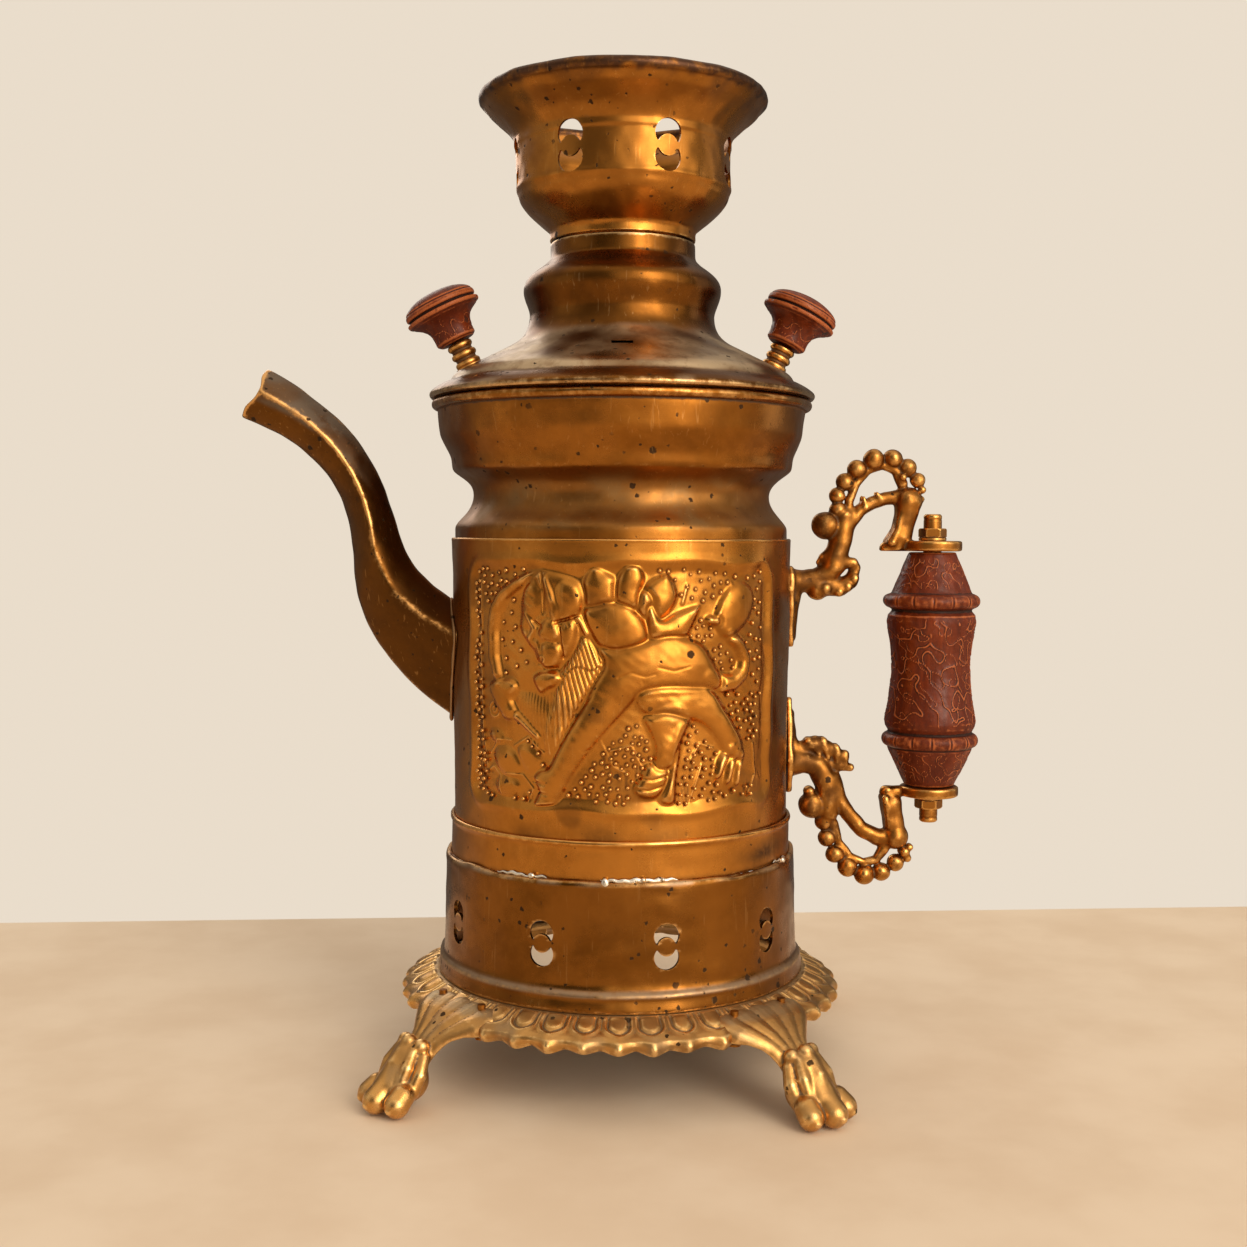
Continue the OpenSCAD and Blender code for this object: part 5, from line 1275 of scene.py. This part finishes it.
def paw_field(p):
    """A leg and its paw, drawn outwards along the second axis."""
    q = folded(p, 0)
    leg = fan(p)
    foot = melt([egg(p, (0, 106.2, 17.5), (7.4, 5.8, 8.0)), ball(p, (0, 107.6, 10.4), 8.4),
                 limb(p, (0, 107, 18), (0, 114.5, 9.0), 6.6, 7.0)], 2.2)
    leaves = np.minimum(strand(q, (0, 108.6, 23.4, 2.2), (0, 113.4, 18.2, 2.6), (0, 117.0, 11.6, 2.2)),
                        strand(q, (4.6, 107.4, 23.0, 2.0), (6.2, 111.6, 17.2, 2.6), (6.0, 114.8, 10.6, 2.4)))
    leaves = np.minimum(leaves, strand(q, (7.4, 104.8, 20.4, 2.2), (9.2, 108.0, 14.6, 2.9),
                                       (8.8, 111.0, 8.8, 2.8)))
    collar = melt([ball(q, (5.4, 104.6, 24.0), 3.0), ball(p, (0, 106.6, 25.0), 3.2)], 1.0)
    foot = melt([foot, leaves, collar], 0.9)
    toes = np.minimum(strand(p, (0, 114.0, 9.4, 4.4), (0, 118.2, 8.4, 5.0), (0, 121.4, 5.6, 5.2)),
                      strand(q, (6.6, 111.6, 8.8, 4.2), (8.4, 115.2, 7.9, 4.7), (9.1, 118.2, 5.4, 4.9)))
    claws = np.minimum(egg(p, (0, 125.0, 4.6), (2.0, 2.2, 1.5)), egg(q, (9.8, 121.6, 4.2), (1.8, 2.0, 1.4)))
    whole = melt([melt([leg, foot], 1.6), toes, claws], 0.7)
    return np.maximum(whole, 0.05 - p[:, 2])


def make_paws():
    first = cast("paw", paw_field, (-25, 77, -0.8), (25, 129, 39), 0.56)
    for name, phi in LEGS.items():
        paw = first.copy()
        paw.data = first.data.copy()
        paw.name = name + "_dressed"
        bpy.context.scene.collection.objects.link(paw)
        paw.data.transform(Matrix.Rotation(math.radians(phi), 4, "Z") @ Matrix.Scale(-1, 4, (0, 1, 0)))
        paw.data.flip_normals()

        def stain_and_painted_light(p):
            return 0.8 * ease(33.5, 35.5, p[:, 2]) + 0.4 * ease(0.3, 1.2, unevenness(p, 16, 95))
        dress(paw, FOOT_BRASS, "vessel", [name], bend_rounds=2, stain_and_painted_light=stain_and_painted_light)
    bpy.data.objects.remove(first)


# ---------------------------------------------------------------- spout

SPOUT_Z, SPOUT_TOP = BARREL_BASE + 36, RIM_Z + 15
# How far the spout's tip and its elbow stand from the barrel, and how high the elbow stands above its root.
SPOUT_REACH, ELBOW_OUT, ELBOW_RISE = 86.6, 41.6, 65.4
# Half the spout's width at its tip and its root, and how far up its side ridge lies at the root.
TIP_W, ROOT_W, RIDGE = 11.0, 17.0, 0.76
# The points along one of the spout's four faces, and round it.
FACE = 10
LOOP = 4 * FACE


def spout_edges(steps):
    """The spout's lower and upper edges, as (x, z) at even steps from its root to its tip."""
    root_x = 5 - BARREL_R
    tip = np.array((-BARREL_R - SPOUT_REACH, SPOUT_TOP - 2 * TIP_W))
    tip_in = np.array((-BARREL_R - SPOUT_REACH + 1.1 * TIP_W, SPOUT_TOP))
    elbow = np.array((-BARREL_R - ELBOW_OUT, SPOUT_Z + ELBOW_RISE))
    elbow_in = elbow + 27 * np.array((0.745, 0.667))
    low = [(root_x, SPOUT_Z - 3), (-BARREL_R - 28, SPOUT_Z + 18), elbow - (0, 22), elbow]
    low_end = [elbow, elbow + (0, 26), tip + (37.4, -13), tip]
    high = [(root_x, SPOUT_Z + 51), (-BARREL_R - 11, SPOUT_Z + 62), elbow_in + (4.3, -15), elbow_in]
    high_end = [elbow_in, elbow_in + (-4.7, 16), tip_in + (40.3, -21.2), tip_in]
    return (np.array(cubic(low, steps) + cubic(low_end, steps) + [tuple(tip)]),
            np.array(cubic(high, steps) + cubic(high_end, steps) + [tuple(tip_in)]))


def spout_rings(steps, thin):
    """The spout's cross-sections, each a loop of points that is made smaller by the wall."""
    bulge = 0.9 * np.sin(math.pi * (np.arange(LOOP) % FACE) / FACE)
    hold = np.ones(LOOP)
    hold[[corner + k for corner in (FACE, 3 * FACE) for k in (-1, 0, 1)]] = 0.25
    loops = []
    for k, (o, i) in enumerate(zip(*spout_edges(steps))):
        s = k / (2 * steps)
        share = RIDGE - (RIDGE - 0.5) * 2 * s if s < 0.5 else 0.5 + 0.12 * (s - 0.5)
        w = ROOT_W + (TIP_W + 1 - ROOT_W) * 2 * s if s < 0.5 else TIP_W + 2 * (1 - s)
        mid, half = o + (i - o) * share, np.linalg.norm(i - o) / 2
        corners = np.array([(o[0], 0, o[1]), (mid[0], -w, mid[1]), (i[0], 0, i[1]), (mid[0], w, mid[1])])
        middle = corners.sum(0) / 4
        loop = np.array([a + (b - a) * t for a, b in zip(corners, np.roll(corners, -1, 0))
                         for t in np.arange(FACE) / FACE])
        # The faces are slightly crowned. The edges above and below are round, and the side ridges stay crisp.
        for _ in range(3):
            eased = (np.roll(loop, 1, 0) + 2 * loop + np.roll(loop, -1, 0)) / 4
            loop = loop + (eased - loop) * hold[:, None]
        away = loop - middle
        loop = loop + away / np.linalg.norm(away, axis=1, keepdims=True) * bulge[:, None]
        shrink = 1 - thin * np.linalg.norm((half, w)) / (half * w)
        loops.append(middle + (loop - middle) * shrink)
    return np.array(loops)


def draw_together(rings):
    """Draws the rings together at the seam where they are still inside the barrel."""
    wall_r, columns = BARREL_R - 0.5, np.arange(LOOP)
    past = -rings[..., 0] - np.sqrt(np.clip(wall_r ** 2 - rings[..., 1] ** 2, 0, None))
    first = np.maximum(np.argmax(past > 0, axis=0), 1)
    before, after = past[first - 1, columns], past[first, columns]
    share = np.clip(-before / (after - before), 0, 1)[:, None]
    seam = rings[first - 1, columns] * (1 - share) + rings[first, columns] * share
    hidden = (np.arange(len(rings))[:, None] < first)[..., None]
    rings[...] = np.where(hidden, seam + 0.04 * (rings - seam), rings)
    rings[..., 0] = np.minimum(rings[..., 0], -np.sqrt(np.clip(wall_r ** 2 - rings[..., 1] ** 2, 0, None)))


def make_spout():
    steps = 44
    outer, inner = spout_rings(steps, 0.0), spout_rings(steps, SHEET + 0.1)
    s = np.arange(len(outer)) / (len(outer) - 1)
    for rings in (outer, inner):
        draw_together(rings)
    # The tip is cut so that its side ridges stand back a little.
    notch = ease(0.45, 1.0, np.abs(outer[-1, :, 1]) / np.abs(outer[-1, :, 1]).max())
    aim = outer[-1].mean(0) - outer[-2].mean(0)
    aim /= np.linalg.norm(aim)
    for rings in (outer, inner):
        rings[-6:] -= (ease(0.5, 1, np.linspace(0, 1, 6))[:, None] * notch)[..., None] * 2.6 * aim
    places = outer.reshape(-1, 3)
    knocks = 0.28 * unevenness(places, 24, 101) + 0.10 * unevenness(places, 8, 102)
    knocks = knocks.reshape(outer.shape[:2]) * (ease(0.02, 0.12, s) * ease(1.0, 0.96, s))[:, None]
    away = outer - outer.mean(1, keepdims=True)
    outer = outer + away / np.linalg.norm(away, axis=2, keepdims=True) * knocks[..., None]
    lip = (outer[-1] + inner[-1]) / 2 + 0.35 * aim
    rows = np.concatenate([outer, lip[None], inner[::-1]])
    spout = mesh_object("spout_dressed", rows, grid_faces(len(rows), LOOP))
    refine = spout.modifiers.new("refine", "SUBSURF")
    refine.subdivision_type, refine.levels = "CATMULL_CLARK", 1
    settle(spout)

    def stain_and_painted_light(p):
        near_tip = ease(-98, -118, p[:, 0])
        back = np.interp(-p[:, 0], [100, 112, 124, 136, 158], [232, 246, 258, 266, 276])
        upper = ease(-0.1, 0.5, (p[:, 2] - back) / 4)
        return near_tip * upper * (0.5 + 0.5 * ease(-0.9, 0.3, unevenness(p, 17, 103)))
    dress(spout, SPOUT_BRASS, "vessel", ["spout"], stain_and_painted_light=stain_and_painted_light, crease=60)

    seam = outer[0]
    turn = np.arctan2(seam[:, 1], -seam[:, 0])
    r = BARREL_R + 0.4
    spots = np.stack([-r * np.cos(turn), r * np.sin(turn), seam[:, 2]], -1)
    make_bead("spout_solder", spots, 1.25, DARK_SOLDER)


# How many sides a run of solder has.
BEAD_SIDES = 10


def make_bead(name, spots, r, material, closed=True):
    """A thin uneven run of solder through the spots."""
    n = len(spots)
    spots = np.array(spots, float)
    ahead = np.roll(spots, -1, 0) - np.roll(spots, 1, 0)
    if not closed:
        ahead[0], ahead[-1] = spots[1] - spots[0], spots[-1] - spots[-2]
    ahead /= np.linalg.norm(ahead, axis=1, keepdims=True)
    out = spots * (1, 1, 0)
    out /= np.linalg.norm(out, axis=1, keepdims=True)
    side = np.cross(ahead, out)
    size = r * (1 + 0.25 * unevenness(spots, 9, 111))
    if not closed:
        size = size * np.sqrt(np.clip(1 - np.linspace(-1, 1, n) ** 2, 0.02, 1))
    a = np.arange(BEAD_SIDES) * 2 * math.pi / BEAD_SIDES
    ring = np.cos(a)[:, None] * side[:, None] + 0.55 * np.sin(a)[:, None] * out[:, None]
    rows = spots[:, None] + size[:, None, None] * ring
    faces = grid_faces(n, BEAD_SIDES, closed)
    if not closed:
        faces += [list(range(BEAD_SIDES)), list(range((n - 1) * BEAD_SIDES, n * BEAD_SIDES))]
    bead = mesh_object(name, rows, faces)
    dress(bead, material, "vessel")


def make_solder():
    """Where the collar is soldered to the band: a thin line and a few thick drops."""
    z, r = COLLAR_TOP + 0.1, BAND_R + 0.7
    runs = {"solder_left": (-46, -27, 0.8), "solder_middle": (-10, 14, 1.0), "solder_right": (55, 66, 0.8)}
    for name, (start, end, size) in runs.items():
        phi = np.linspace(start, end, 40)
        wave = 0.25 * np.sin(phi * 1.7) + 0.2 * np.sin(phi * 0.6)
        make_bead(name, round_about(phi, np.full(40, r), z + wave), size, SOLDER, closed=False)
    # The drops: angle, height, and half their width and height.
    drops = [(-32, 88.2, 1.5, 1.2), (-8.5, 86.6, 1.7, 2.6), (61, 87.6, 1.5, 1.3), (3, 88.4, 1.2, 0.9),
             (9, 88.3, 1.0, 0.8)]

    def field(p):
        blobs = []
        for phi, z, wide, tall in drops:
            q = p - round_about(phi, np.array(72.7), np.array(z))
            across, out = (q @ way for way in wall_ways(phi))
            blobs.append((np.sqrt((across / wide) ** 2 + (out / 1.1) ** 2 + (q[:, 2] / tall) ** 2) - 1) * 0.9)
        return np.minimum.reduce(blobs)
    lumps = cast("solder_drops", field, (-42, -76, 83), (68, -30, 91), 0.4)
    dress(lumps, SOLDER, "vessel")


# ---------------------------------------------------------------- grip and its brackets

GRIP_X, GRIP_BASE, GRIP_TOP = 133.0, 112.3, 212.1
EYE_R, EYE_T, EYE_GAP = 12.5, 4.4, 0.4
# The grip's two turned beads: from its foot, and from its top.
BEAD_Z, TOP_BEAD = 19.6, 20.8
# Beyond EYE_SIDE the brackets are cut off flat, where the grip's ends run. CLEAR keeps the cut off the rest.
EYE_SIDE, CLEAR = 108, 60
ROD_R, ROD_LOW, ROD_HIGH = 3.9, 96.1, 228.3


def eye_field(p, z):
    ring = np.hypot(p[:, 0] - GRIP_X, p[:, 1]) - EYE_R
    return -melt([-ring, -(np.abs(p[:, 2] - z) - EYE_T / 2)], 0.9)


def plate_field(p, stops, widths, thick):
    """A tongue that lies on the barrel, with its outline given as heights and half widths."""
    r = np.hypot(p[:, 0], p[:, 1])
    w = np.interp(p[:, 2], stops, widths)
    ends = np.maximum(stops[0] - p[:, 2], p[:, 2] - stops[-1])
    return -melt([-(np.abs(p[:, 1]) - w), -(r - BARREL_R - thick), -ends], 1.0)


def off_the_barrel(p, field):
    return np.maximum(field, BARREL_R + 0.02 - np.hypot(p[:, 0], p[:, 1]))


def rough_skin(p, seed):
    """The slight lumps of a sand casting."""
    return 0.15 * unevenness(p, 7.5, seed)


def finish_bracket(p, whole, small, beads, big, seed, eye_z):
    """Melts on the small parts, the beads and the great balls, roughens the skin and adds the grip's eye."""
    whole = melt([whole, *small], 0.9)
    whole = melt([whole, *(ball(p, (x, 0, z), r) for x, z, r in beads)], 0.45)
    whole = melt([whole, *(ball(p, (x, 0, z), r) for x, z, r in big)], 0.6) - rough_skin(p, seed)
    return melt([whole, eye_field(p, eye_z)], 0.8)


def upper_field(p):
    q = folded(p, 1)
    plate = plate_field(p, [171.8, 173.6, 178, 186, 196, 203, 206], [2.2, 3.6, 4.2, 5.6, 7.0, 6.2, 3.0], 2.2)
    plate = melt([plate, strand(p, (72.4, 176, 2.0), (72.8, 188, 2.8), (74.0, 199, 3.4))], 1.2)
    arm = strand(p, (72.0, 199.4, 5.4), (77.5, 199.6, 4.6), (83.0, 200.6, 4.4), (88.6, 203.4, 4.8),
                 (90.6, 207, 4.6))
    arm = melt([arm, ball(p, (83.4, 0, 196.6), 4.9), ball(q, (86.4, 3.4, 196.6), 2.4)], 1.2)
    leaf = strand(q, (88.2, 197.6, 4.2), (93.4, 197.2, 3.9), (97.6, 199.6, 3.4), (99.2, 203.4, 2.4))
    lobes = [ball(q, (92.4, 2.6, 195.2), 2.0), ball(q, (96.2, 2.4, 197.2), 1.9),
             ball(q, (99.0, 2.2, 200.8), 1.8)]
    lobes += [strand(q, (90.6, 1.6, 205.2, 2.8), (94.6, 1.4, 207.6, 2.5), (98.4, 1.0, 207.4, 2.3),
                     (100.4, 0.6, 205.4, 1.6))]
    trunk = strand(p, (90.2, 206.5, 5.0), (92.4, 213.4, 4.8), (94.0, 220.6, 4.9), (94.6, 226.6, 4.2))
    trunk = melt([trunk, strand(q, (89.2, 2.4, 209, 1.9), (92.4, 2.2, 216, 1.9), (96.0, 1.8, 223, 1.6))], 0.8)
    spur = strand(p, (89.4, 211.4, 2.6), (86.0, 209.6, 2.2), (83.8, 207.6, 1.3))
    arch = strand(p, (96.6, 223.4, 3.0), (101.4, 229.6, 2.9), (106.4, 233.0, 2.7), (112.2, 234.8, 2.8),
                  (118, 235.4, 3.2))
    twigs = [limb(q, (103.4, 1.6, 231.0), (102.6, 1.8, 235.0), 1.3, 0.9),
             limb(q, (110.0, 1.6, 234.4), (108.2, 1.8, 237.0), 1.2, 0.8)]
    inner = strand(p, (96.4, 226.2, 2.4), (96.7, 233.6, 2.0), (99.4, 240.6, 1.9), (104.5, 246.6, 1.8),
                   (111.0, 248.8, 1.8), (116.6, 246.4, 1.9), (119.6, 240.8, 2.3))
    beads = [(92.0, 229.6, 3.8), (91.6, 235.9, 3.5), (94.9, 241.6, 3.9), (99.9, 247.0, 4.2),
             (107.0, 251.2, 4.5), (115.4, 251.7, 4.2), (121.8, 247.8, 3.9), (126.2, 242.6, 3.3)]
    knots = [ball(q, (128.0, 1.0, 238.4), 1.7), ball(q, (127.6, 1.2, 234.6), 1.5),
             ball(q, (119.4, 2.2, 243.8), 1.5)]
    big = [(86.6, 223.1, 5.9), (122.2, 233.6, 6.1)]
    neck = limb(p, (86.6, 0, 223.1), (94.0, 0, 221.6), 3.2, 4.0)
    post = strand(p, (121.6, 230, 5.4), (120.4, 223.4, 4.4), (119.0, 218.4, 4.9), (116.2, 215.2, 4.2))
    rib = strand(q, (118.6, 2.6, 227.6, 1.8), (117.4, 3.0, 221.6, 1.7), (114.8, 3.4, 216.4, 2.4))
    post = melt([post, rib, strand(p, (116.6, 214.4, 4.0), (113.2, 213.6, 3.2))], 1.0)
    foot = limb(p, (115.5, 0, 214.8), (124, 0, 214.7), 3.4, 2.3)
    whole = melt([plate, arm, leaf, *lobes, trunk, spur, arch, *twigs, inner, post], 1.3)
    whole = finish_bracket(p, whole, [neck, foot, *knots], beads, big, 121, GRIP_TOP + EYE_GAP + EYE_T / 2)
    whole = np.maximum(whole, GRIP_TOP + EYE_GAP - p[:, 2] - CLEAR * (p[:, 0] < EYE_SIDE))
    return off_the_barrel(p, whole)


def lower_field(p):
    q = folded(p, 1)
    plate = plate_field(p, [109.6, 112, 118, 124, 131, 140, 147, 150.2],
                        [2.4, 4.8, 6.6, 7.0, 5.4, 3.8, 2.8, 1.4], 2.2)
    plate = melt([plate, strand(p, (72.4, 143, 1.8), (72.8, 133, 2.6), (74.4, 126, 4.0))], 1.2)
    arm = strand(p, (72.6, 122.6, 6.6), (78.4, 122.8, 5.0), (84.0, 120.8, 4.4), (87.0, 115.6, 4.8))
    leaf = strand(p, (76.2, 128.0, 3.0), (83.0, 130.2, 3.4), (88.8, 128.2, 3.2), (95.0, 124.4, 2.6))
    folds = [limb(q, (80.0, 1.6, 131.6), (84.6, 2.2, 126.0), 1.6, 1.2),
             limb(q, (86.6, 1.6, 131.4), (88.6, 2.2, 124.6), 1.7, 1.2),
             limb(q, (92.2, 1.4, 128.6), (92.6, 1.8, 122.6), 1.6, 1.1),
             limb(q, (96.4, 0.8, 126.0), (96.2, 1.0, 121.6), 1.5, 1.2)]
    under = strand(p, (86.0, 122.6, 2.6), (92.6, 120.6, 2.4), (98.6, 119.8, 1.8))
    trunk = strand(p, (84.3, 121, 4.8), (88.0, 114.9, 5.2), (89.4, 108, 4.8), (88.8, 101.0, 4.8))
    trunk = melt([trunk, strand(q, (85.4, 2.8, 118, 1.8), (86.6, 2.6, 110, 2.0), (87.2, 2.4, 102, 1.9))], 0.8)
    main = strand(p, (91.4, 115.4, 3.4), (93.8, 106.4, 3.4), (97.9, 99.8, 3.3), (103.7, 93.4, 3.4),
                  (110.6, 89.6, 3.6), (116, 89.4, 3.8))
    inner = strand(p, (91.4, 95.4, 2.6), (93.8, 87.6, 2.0), (98.8, 81.6, 1.8), (104.8, 78.6, 1.8),
                   (110.4, 79.8, 2.0), (114.0, 84.8, 2.4))
    beads = [(87.4, 96.6, 3.9), (88.9, 89.6, 3.9), (92.4, 82.6, 4.1), (98.0, 76.9, 4.4), (105.4, 73.6, 4.5),
             (112.6, 74.6, 4.0), (119.0, 78.4, 3.8)]
    knots = [ball(q, (123.6, 1.2, 80.6), 2.0), ball(q, (124.8, 0.8, 85.2), 1.6),
             ball(q, (122.4, 1.8, 83.4), 2.2), ball(q, (88.4, 2.8, 101.8), 1.7),
             ball(q, (81.0, 0.6, 109.6), 2.5)]
    big = [(82.2, 103.8, 5.8), (118.6, 89.9, 5.7)]
    neck = limb(p, (82.2, 0, 103.8), (88.6, 0, 105.0), 3.4, 4.0)
    post = strand(p, (118.6, 92, 4.6), (117.4, 99.0, 4.4), (116.4, 104.6, 4.7), (114.6, 109.0, 3.2))
    rib = strand(q, (115.4, 2.4, 95, 1.7), (114.6, 3.0, 101, 1.8), (113.6, 3.2, 106.6, 2.0))
    post = melt([post, rib], 1.0)
    foot = limb(p, (115.4, 0, 109.4), (124, 0, 109.6), 2.6, 2.2)
    whole = melt([plate, arm, leaf, *folds, under, trunk, main, inner, post], 1.2)
    whole = finish_bracket(p, whole, [neck, foot, *knots], beads, big, 131, GRIP_BASE - EYE_GAP - EYE_T / 2)
    whole = np.maximum(whole, p[:, 2] - (GRIP_BASE - EYE_GAP) - CLEAR * (p[:, 0] < EYE_SIDE))
    return off_the_barrel(p, whole)


def make_brackets():
    for name, field, low, high in (("bracket_upper", upper_field, (69, -14, 170), (147, 14, 258)),
                                   ("bracket_lower", lower_field, (69, -14, 67), (147, 14, 153))):
        bracket = cast(name + "_dressed", field, low, high, 0.5)

        def stain_and_painted_light(p):
            # Darker near the barrel: dark patina, and painted shade where the bracket meets the barrel.
            patina_and_shade_by_barrel = ease(104, 88, p[:, 0]) * ease(-0.4, 0.7, unevenness(p, 14, 141))
            return np.maximum(0.8 * patina_and_shade_by_barrel, 0.5 * ease(0.5, 1.2, unevenness(p, 11, 142)))
        dress(bracket, CAST_BRASS, "vessel", [name], bend_rounds=3, stain_and_painted_light=stain_and_painted_light)


def stand_at(thing, x, z, lean=0.0, lift=0.0):
    """Moves a turned piece from the vessel's axis to its own place, with a lean and a way up its stem."""
    move = Matrix.Translation(Vector((x, 0, z)) * MM) @ Matrix.Rotation(math.radians(lean), 4, "Y")
    thing.data.transform(move @ Matrix.Translation(Vector((0, 0, lift)) * MM))
    return thing


def curls(phi, r, z, seed, reach):
    """Thin raised lines that wind over a carved surface."""
    around = round_about(phi, r, z)
    field = unevenness(around, reach, seed, 10)
    second = unevenness(around, reach * 0.62, seed + 1, 10)
    return np.maximum(ease(0.13, 0.03, np.abs(field)), ease(0.10, 0.02, np.abs(second - 0.5)))


def make_grip():
    h, bore = GRIP_TOP - GRIP_BASE, ROD_R + 0.08
    outline = [(bore, 0.05), (10.2, 0.05), (10.9, 0.6), (18.0, 15.8), (18.0, 16.5)]
    outline += arc((17.6, BEAD_Z), 3, -80, 80, 10)
    outline += [(17.9, 22.9), (17.8, 23.3), (19.0, 25.4)]
    outline += cubic([(19.4, 27.4), (19.4, 31), (16.6, 38), (16.6, 51)], 16)
    outline += cubic([(16.6, 51), (16.6, 60), (18.8, 66), (18.8, 72.0)], 16)
    outline += [(18.6, h - 26.8), (17.2, h - 25.2), (17.1, h - 24.4)]
    outline += arc((17.6, h - TOP_BEAD), 3, -80, 80, 10)
    outline += [(17.1, h - 17.4), (16.8, h - 16.8), (10.3, h - 0.9), (9.8, h - 0.05), (bore, h - 0.05)]
    line = dense(outline, 0.42, 1)

    def shape(phi, r, z):
        out = r > 9
        cone = out * (ease(2, 4, z) * ease(15.6, 14, z) + ease(h - 16, h - 14, z) * ease(h - 2, h - 4, z))
        waist = out * ease(26, 29, z) * ease(h - 27.5, h - 30, z)
        carved = 0.24 * curls(phi, r, z, 151, 10.5) * waist + 0.18 * curls(phi, r, z, 153, 9) * cone
        notches = 0.28 * np.exp(-((phi % 24 - 12) / 1.3) ** 2) * out
        beads = np.exp(-((z - BEAD_Z) / 2.2) ** 2) + np.exp(-((z - h + TOP_BEAD) / 2.2) ** 2)
        p = round_about(phi, r, z)
        lumps = 0.10 * unevenness(p, 13, 155) + 0.05 * unevenness(p, 4, 156)
        return r + carved - notches * beads + out * lumps - 0.14 * out, z
    grip = turned("grip_dressed", line, 400, 9.0, shape, rounds=0)
    stand_at(grip, GRIP_X, GRIP_BASE)
    dress(grip, WOOD, "grip", ["handle_grip"], bend_rounds=1)


def make_knobs():
    x, foot, lean, stem = 63.2, 288.1, 26.4, 11.5
    knob = [(2.55, 0.05), (7.3, 0.05), (8.7, 1.2)] + cubic([(8.7, 1.6), (8.1, 7), (10, 10), (15.4, 11.9)], 12)
    knob += [(16.0, 12.6), (16.1, 13.8), (14.7, 14.2), (14.2, 14.7), (14.6, 15.1), (15.4, 15.3)]
    knob += cubic([(15.6, 16), (15.6, 19.6), (9.7, 22.3), (0.05, 22.45)], 16)
    knob += [(0.0, 22.45), (0.0, 11.5), (2.55, 11.5)]
    shank = [(0.0, -8.9), (2.2, -8.9), (2.45, -8.5), (2.45, -0.05), (5.9, -0.05), (6.0, 0.3), (5.9, 0.8),
             (4.4, 0.9)]
    for k in range(3):
        shank += arc((3.9, (k + 0.5) * stem / 3), 1.5, -72, 72, 8)
    shank += [(2.5, stem - 0.05), (2.45, stem + 10), (0.0, stem + 10)]
    for side, word in ((-1, "left"), (1, "right")):
        def shape(phi, r, z):
            p = round_about(phi, r, z) + side * 40
            out = (r > 6) * 1.0
            cuts = 0.30 * np.exp(-((z - 12.0) / 0.35) ** 2) + 0.26 * np.exp(-((z - 17.6) / 0.30) ** 2)
            chips = 0.35 * ease(0.9, 1.5, unevenness(p, 7, 165)) * np.exp(-((z - 13.4) / 2.0) ** 2)
            carved = 0.14 * curls(phi + 30 * side, r, z, 167, 9) * out * (z < 11) * (z > 2)
            return r + out * (0.09 * unevenness(p, 9, 161) - 0.12) + carved - out * (cuts + chips), z
        top = turned("knob_" + word + "_dressed", dense(knob, 0.45, 1), 200, 9.0, shape, rounds=0)
        dress(stand_at(top, side * x, foot, side * lean, stem), WOOD, "lid", ["knob_" + word],
              bend_rounds=1)
        bolt = turned("stem_" + word + "_dressed", dense(shank, 0.4, 1), 72, 9.0, rounds=0)
        dress(stand_at(bolt, side * x, foot, side * lean), CAST_BRASS, "lid",
              ["knob_stem_" + word])


def make_rod():
    end = [(0.0, 0.05), (3.2, 0.05), (3.85, 0.8), (3.85, 2.0), (3.6, 2.3), (3.85, 2.6)]
    outline = [(r, ROD_LOW + z) for r, z in end] + [(r, ROD_HIGH - z) for r, z in end[::-1]]
    rod = turned("rod_dressed", dense(outline, 0.4, 1), 64, 9.0, rounds=0)
    dress(stand_at(rod, GRIP_X, 0), CAST_BRASS, "vessel", ["handle_rod"])
    for name, z, up in (("handle_nut_top", GRIP_TOP + EYE_GAP + EYE_T, 1),
                        ("handle_nut_bottom", GRIP_BASE - EYE_GAP - EYE_T, -1)):
        rows = [(ROD_R, 0.0), (5.7, 0.05), (5.85, 0.3), (5.85, 1.2), (5.5, 1.45), (5.95, 1.7), (6.0, 2.0),
                (6.0, 4.7), (5.5, 5.3), (ROD_R, 5.35)]
        line = dense(rows, 0.35, 0)

        def shape(phi, r, z):
            corner = np.abs((phi + 12) % 60 - 30)
            hexagon = 5.2 / np.cos(np.radians(30 - corner))
            return np.where((z > 1.6) & (r > 4.4), np.minimum(r, hexagon), r), z
        nut = turned(name + "_dressed", line, 144, 9.0, shape, rounds=0)
        nut.data.transform(Matrix.Scale(up, 4, (0, 0, 1)))
        if up < 0:
            nut.data.flip_normals()
        dress(stand_at(nut, GRIP_X, z), CAST_BRASS, "vessel", [name], crease=30)


make_ring()
make_paws()
make_spout()
make_solder()
make_brackets()
make_grip()
make_knobs()
make_rod()


# ---------------------------------------------------------------- plain pieces, which only get their finish

FINISHES = {"crown_spigot": CROWN_BRASS, "lid_skirt": LID_BRASS, "fire_tube": CAST_IRON,
            "fire_grate": CAST_IRON, "vessel_floor": SOOTY_BRASS, "foot_rivets": CAST_BRASS,
            "bracket_rivets": CAST_BRASS, "knob_nut_left": CAST_BRASS, "knob_nut_right": CAST_BRASS}
for name, material in FINISHES.items():
    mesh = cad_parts[name].data
    mesh.materials.clear()
    mesh.materials.append(material)
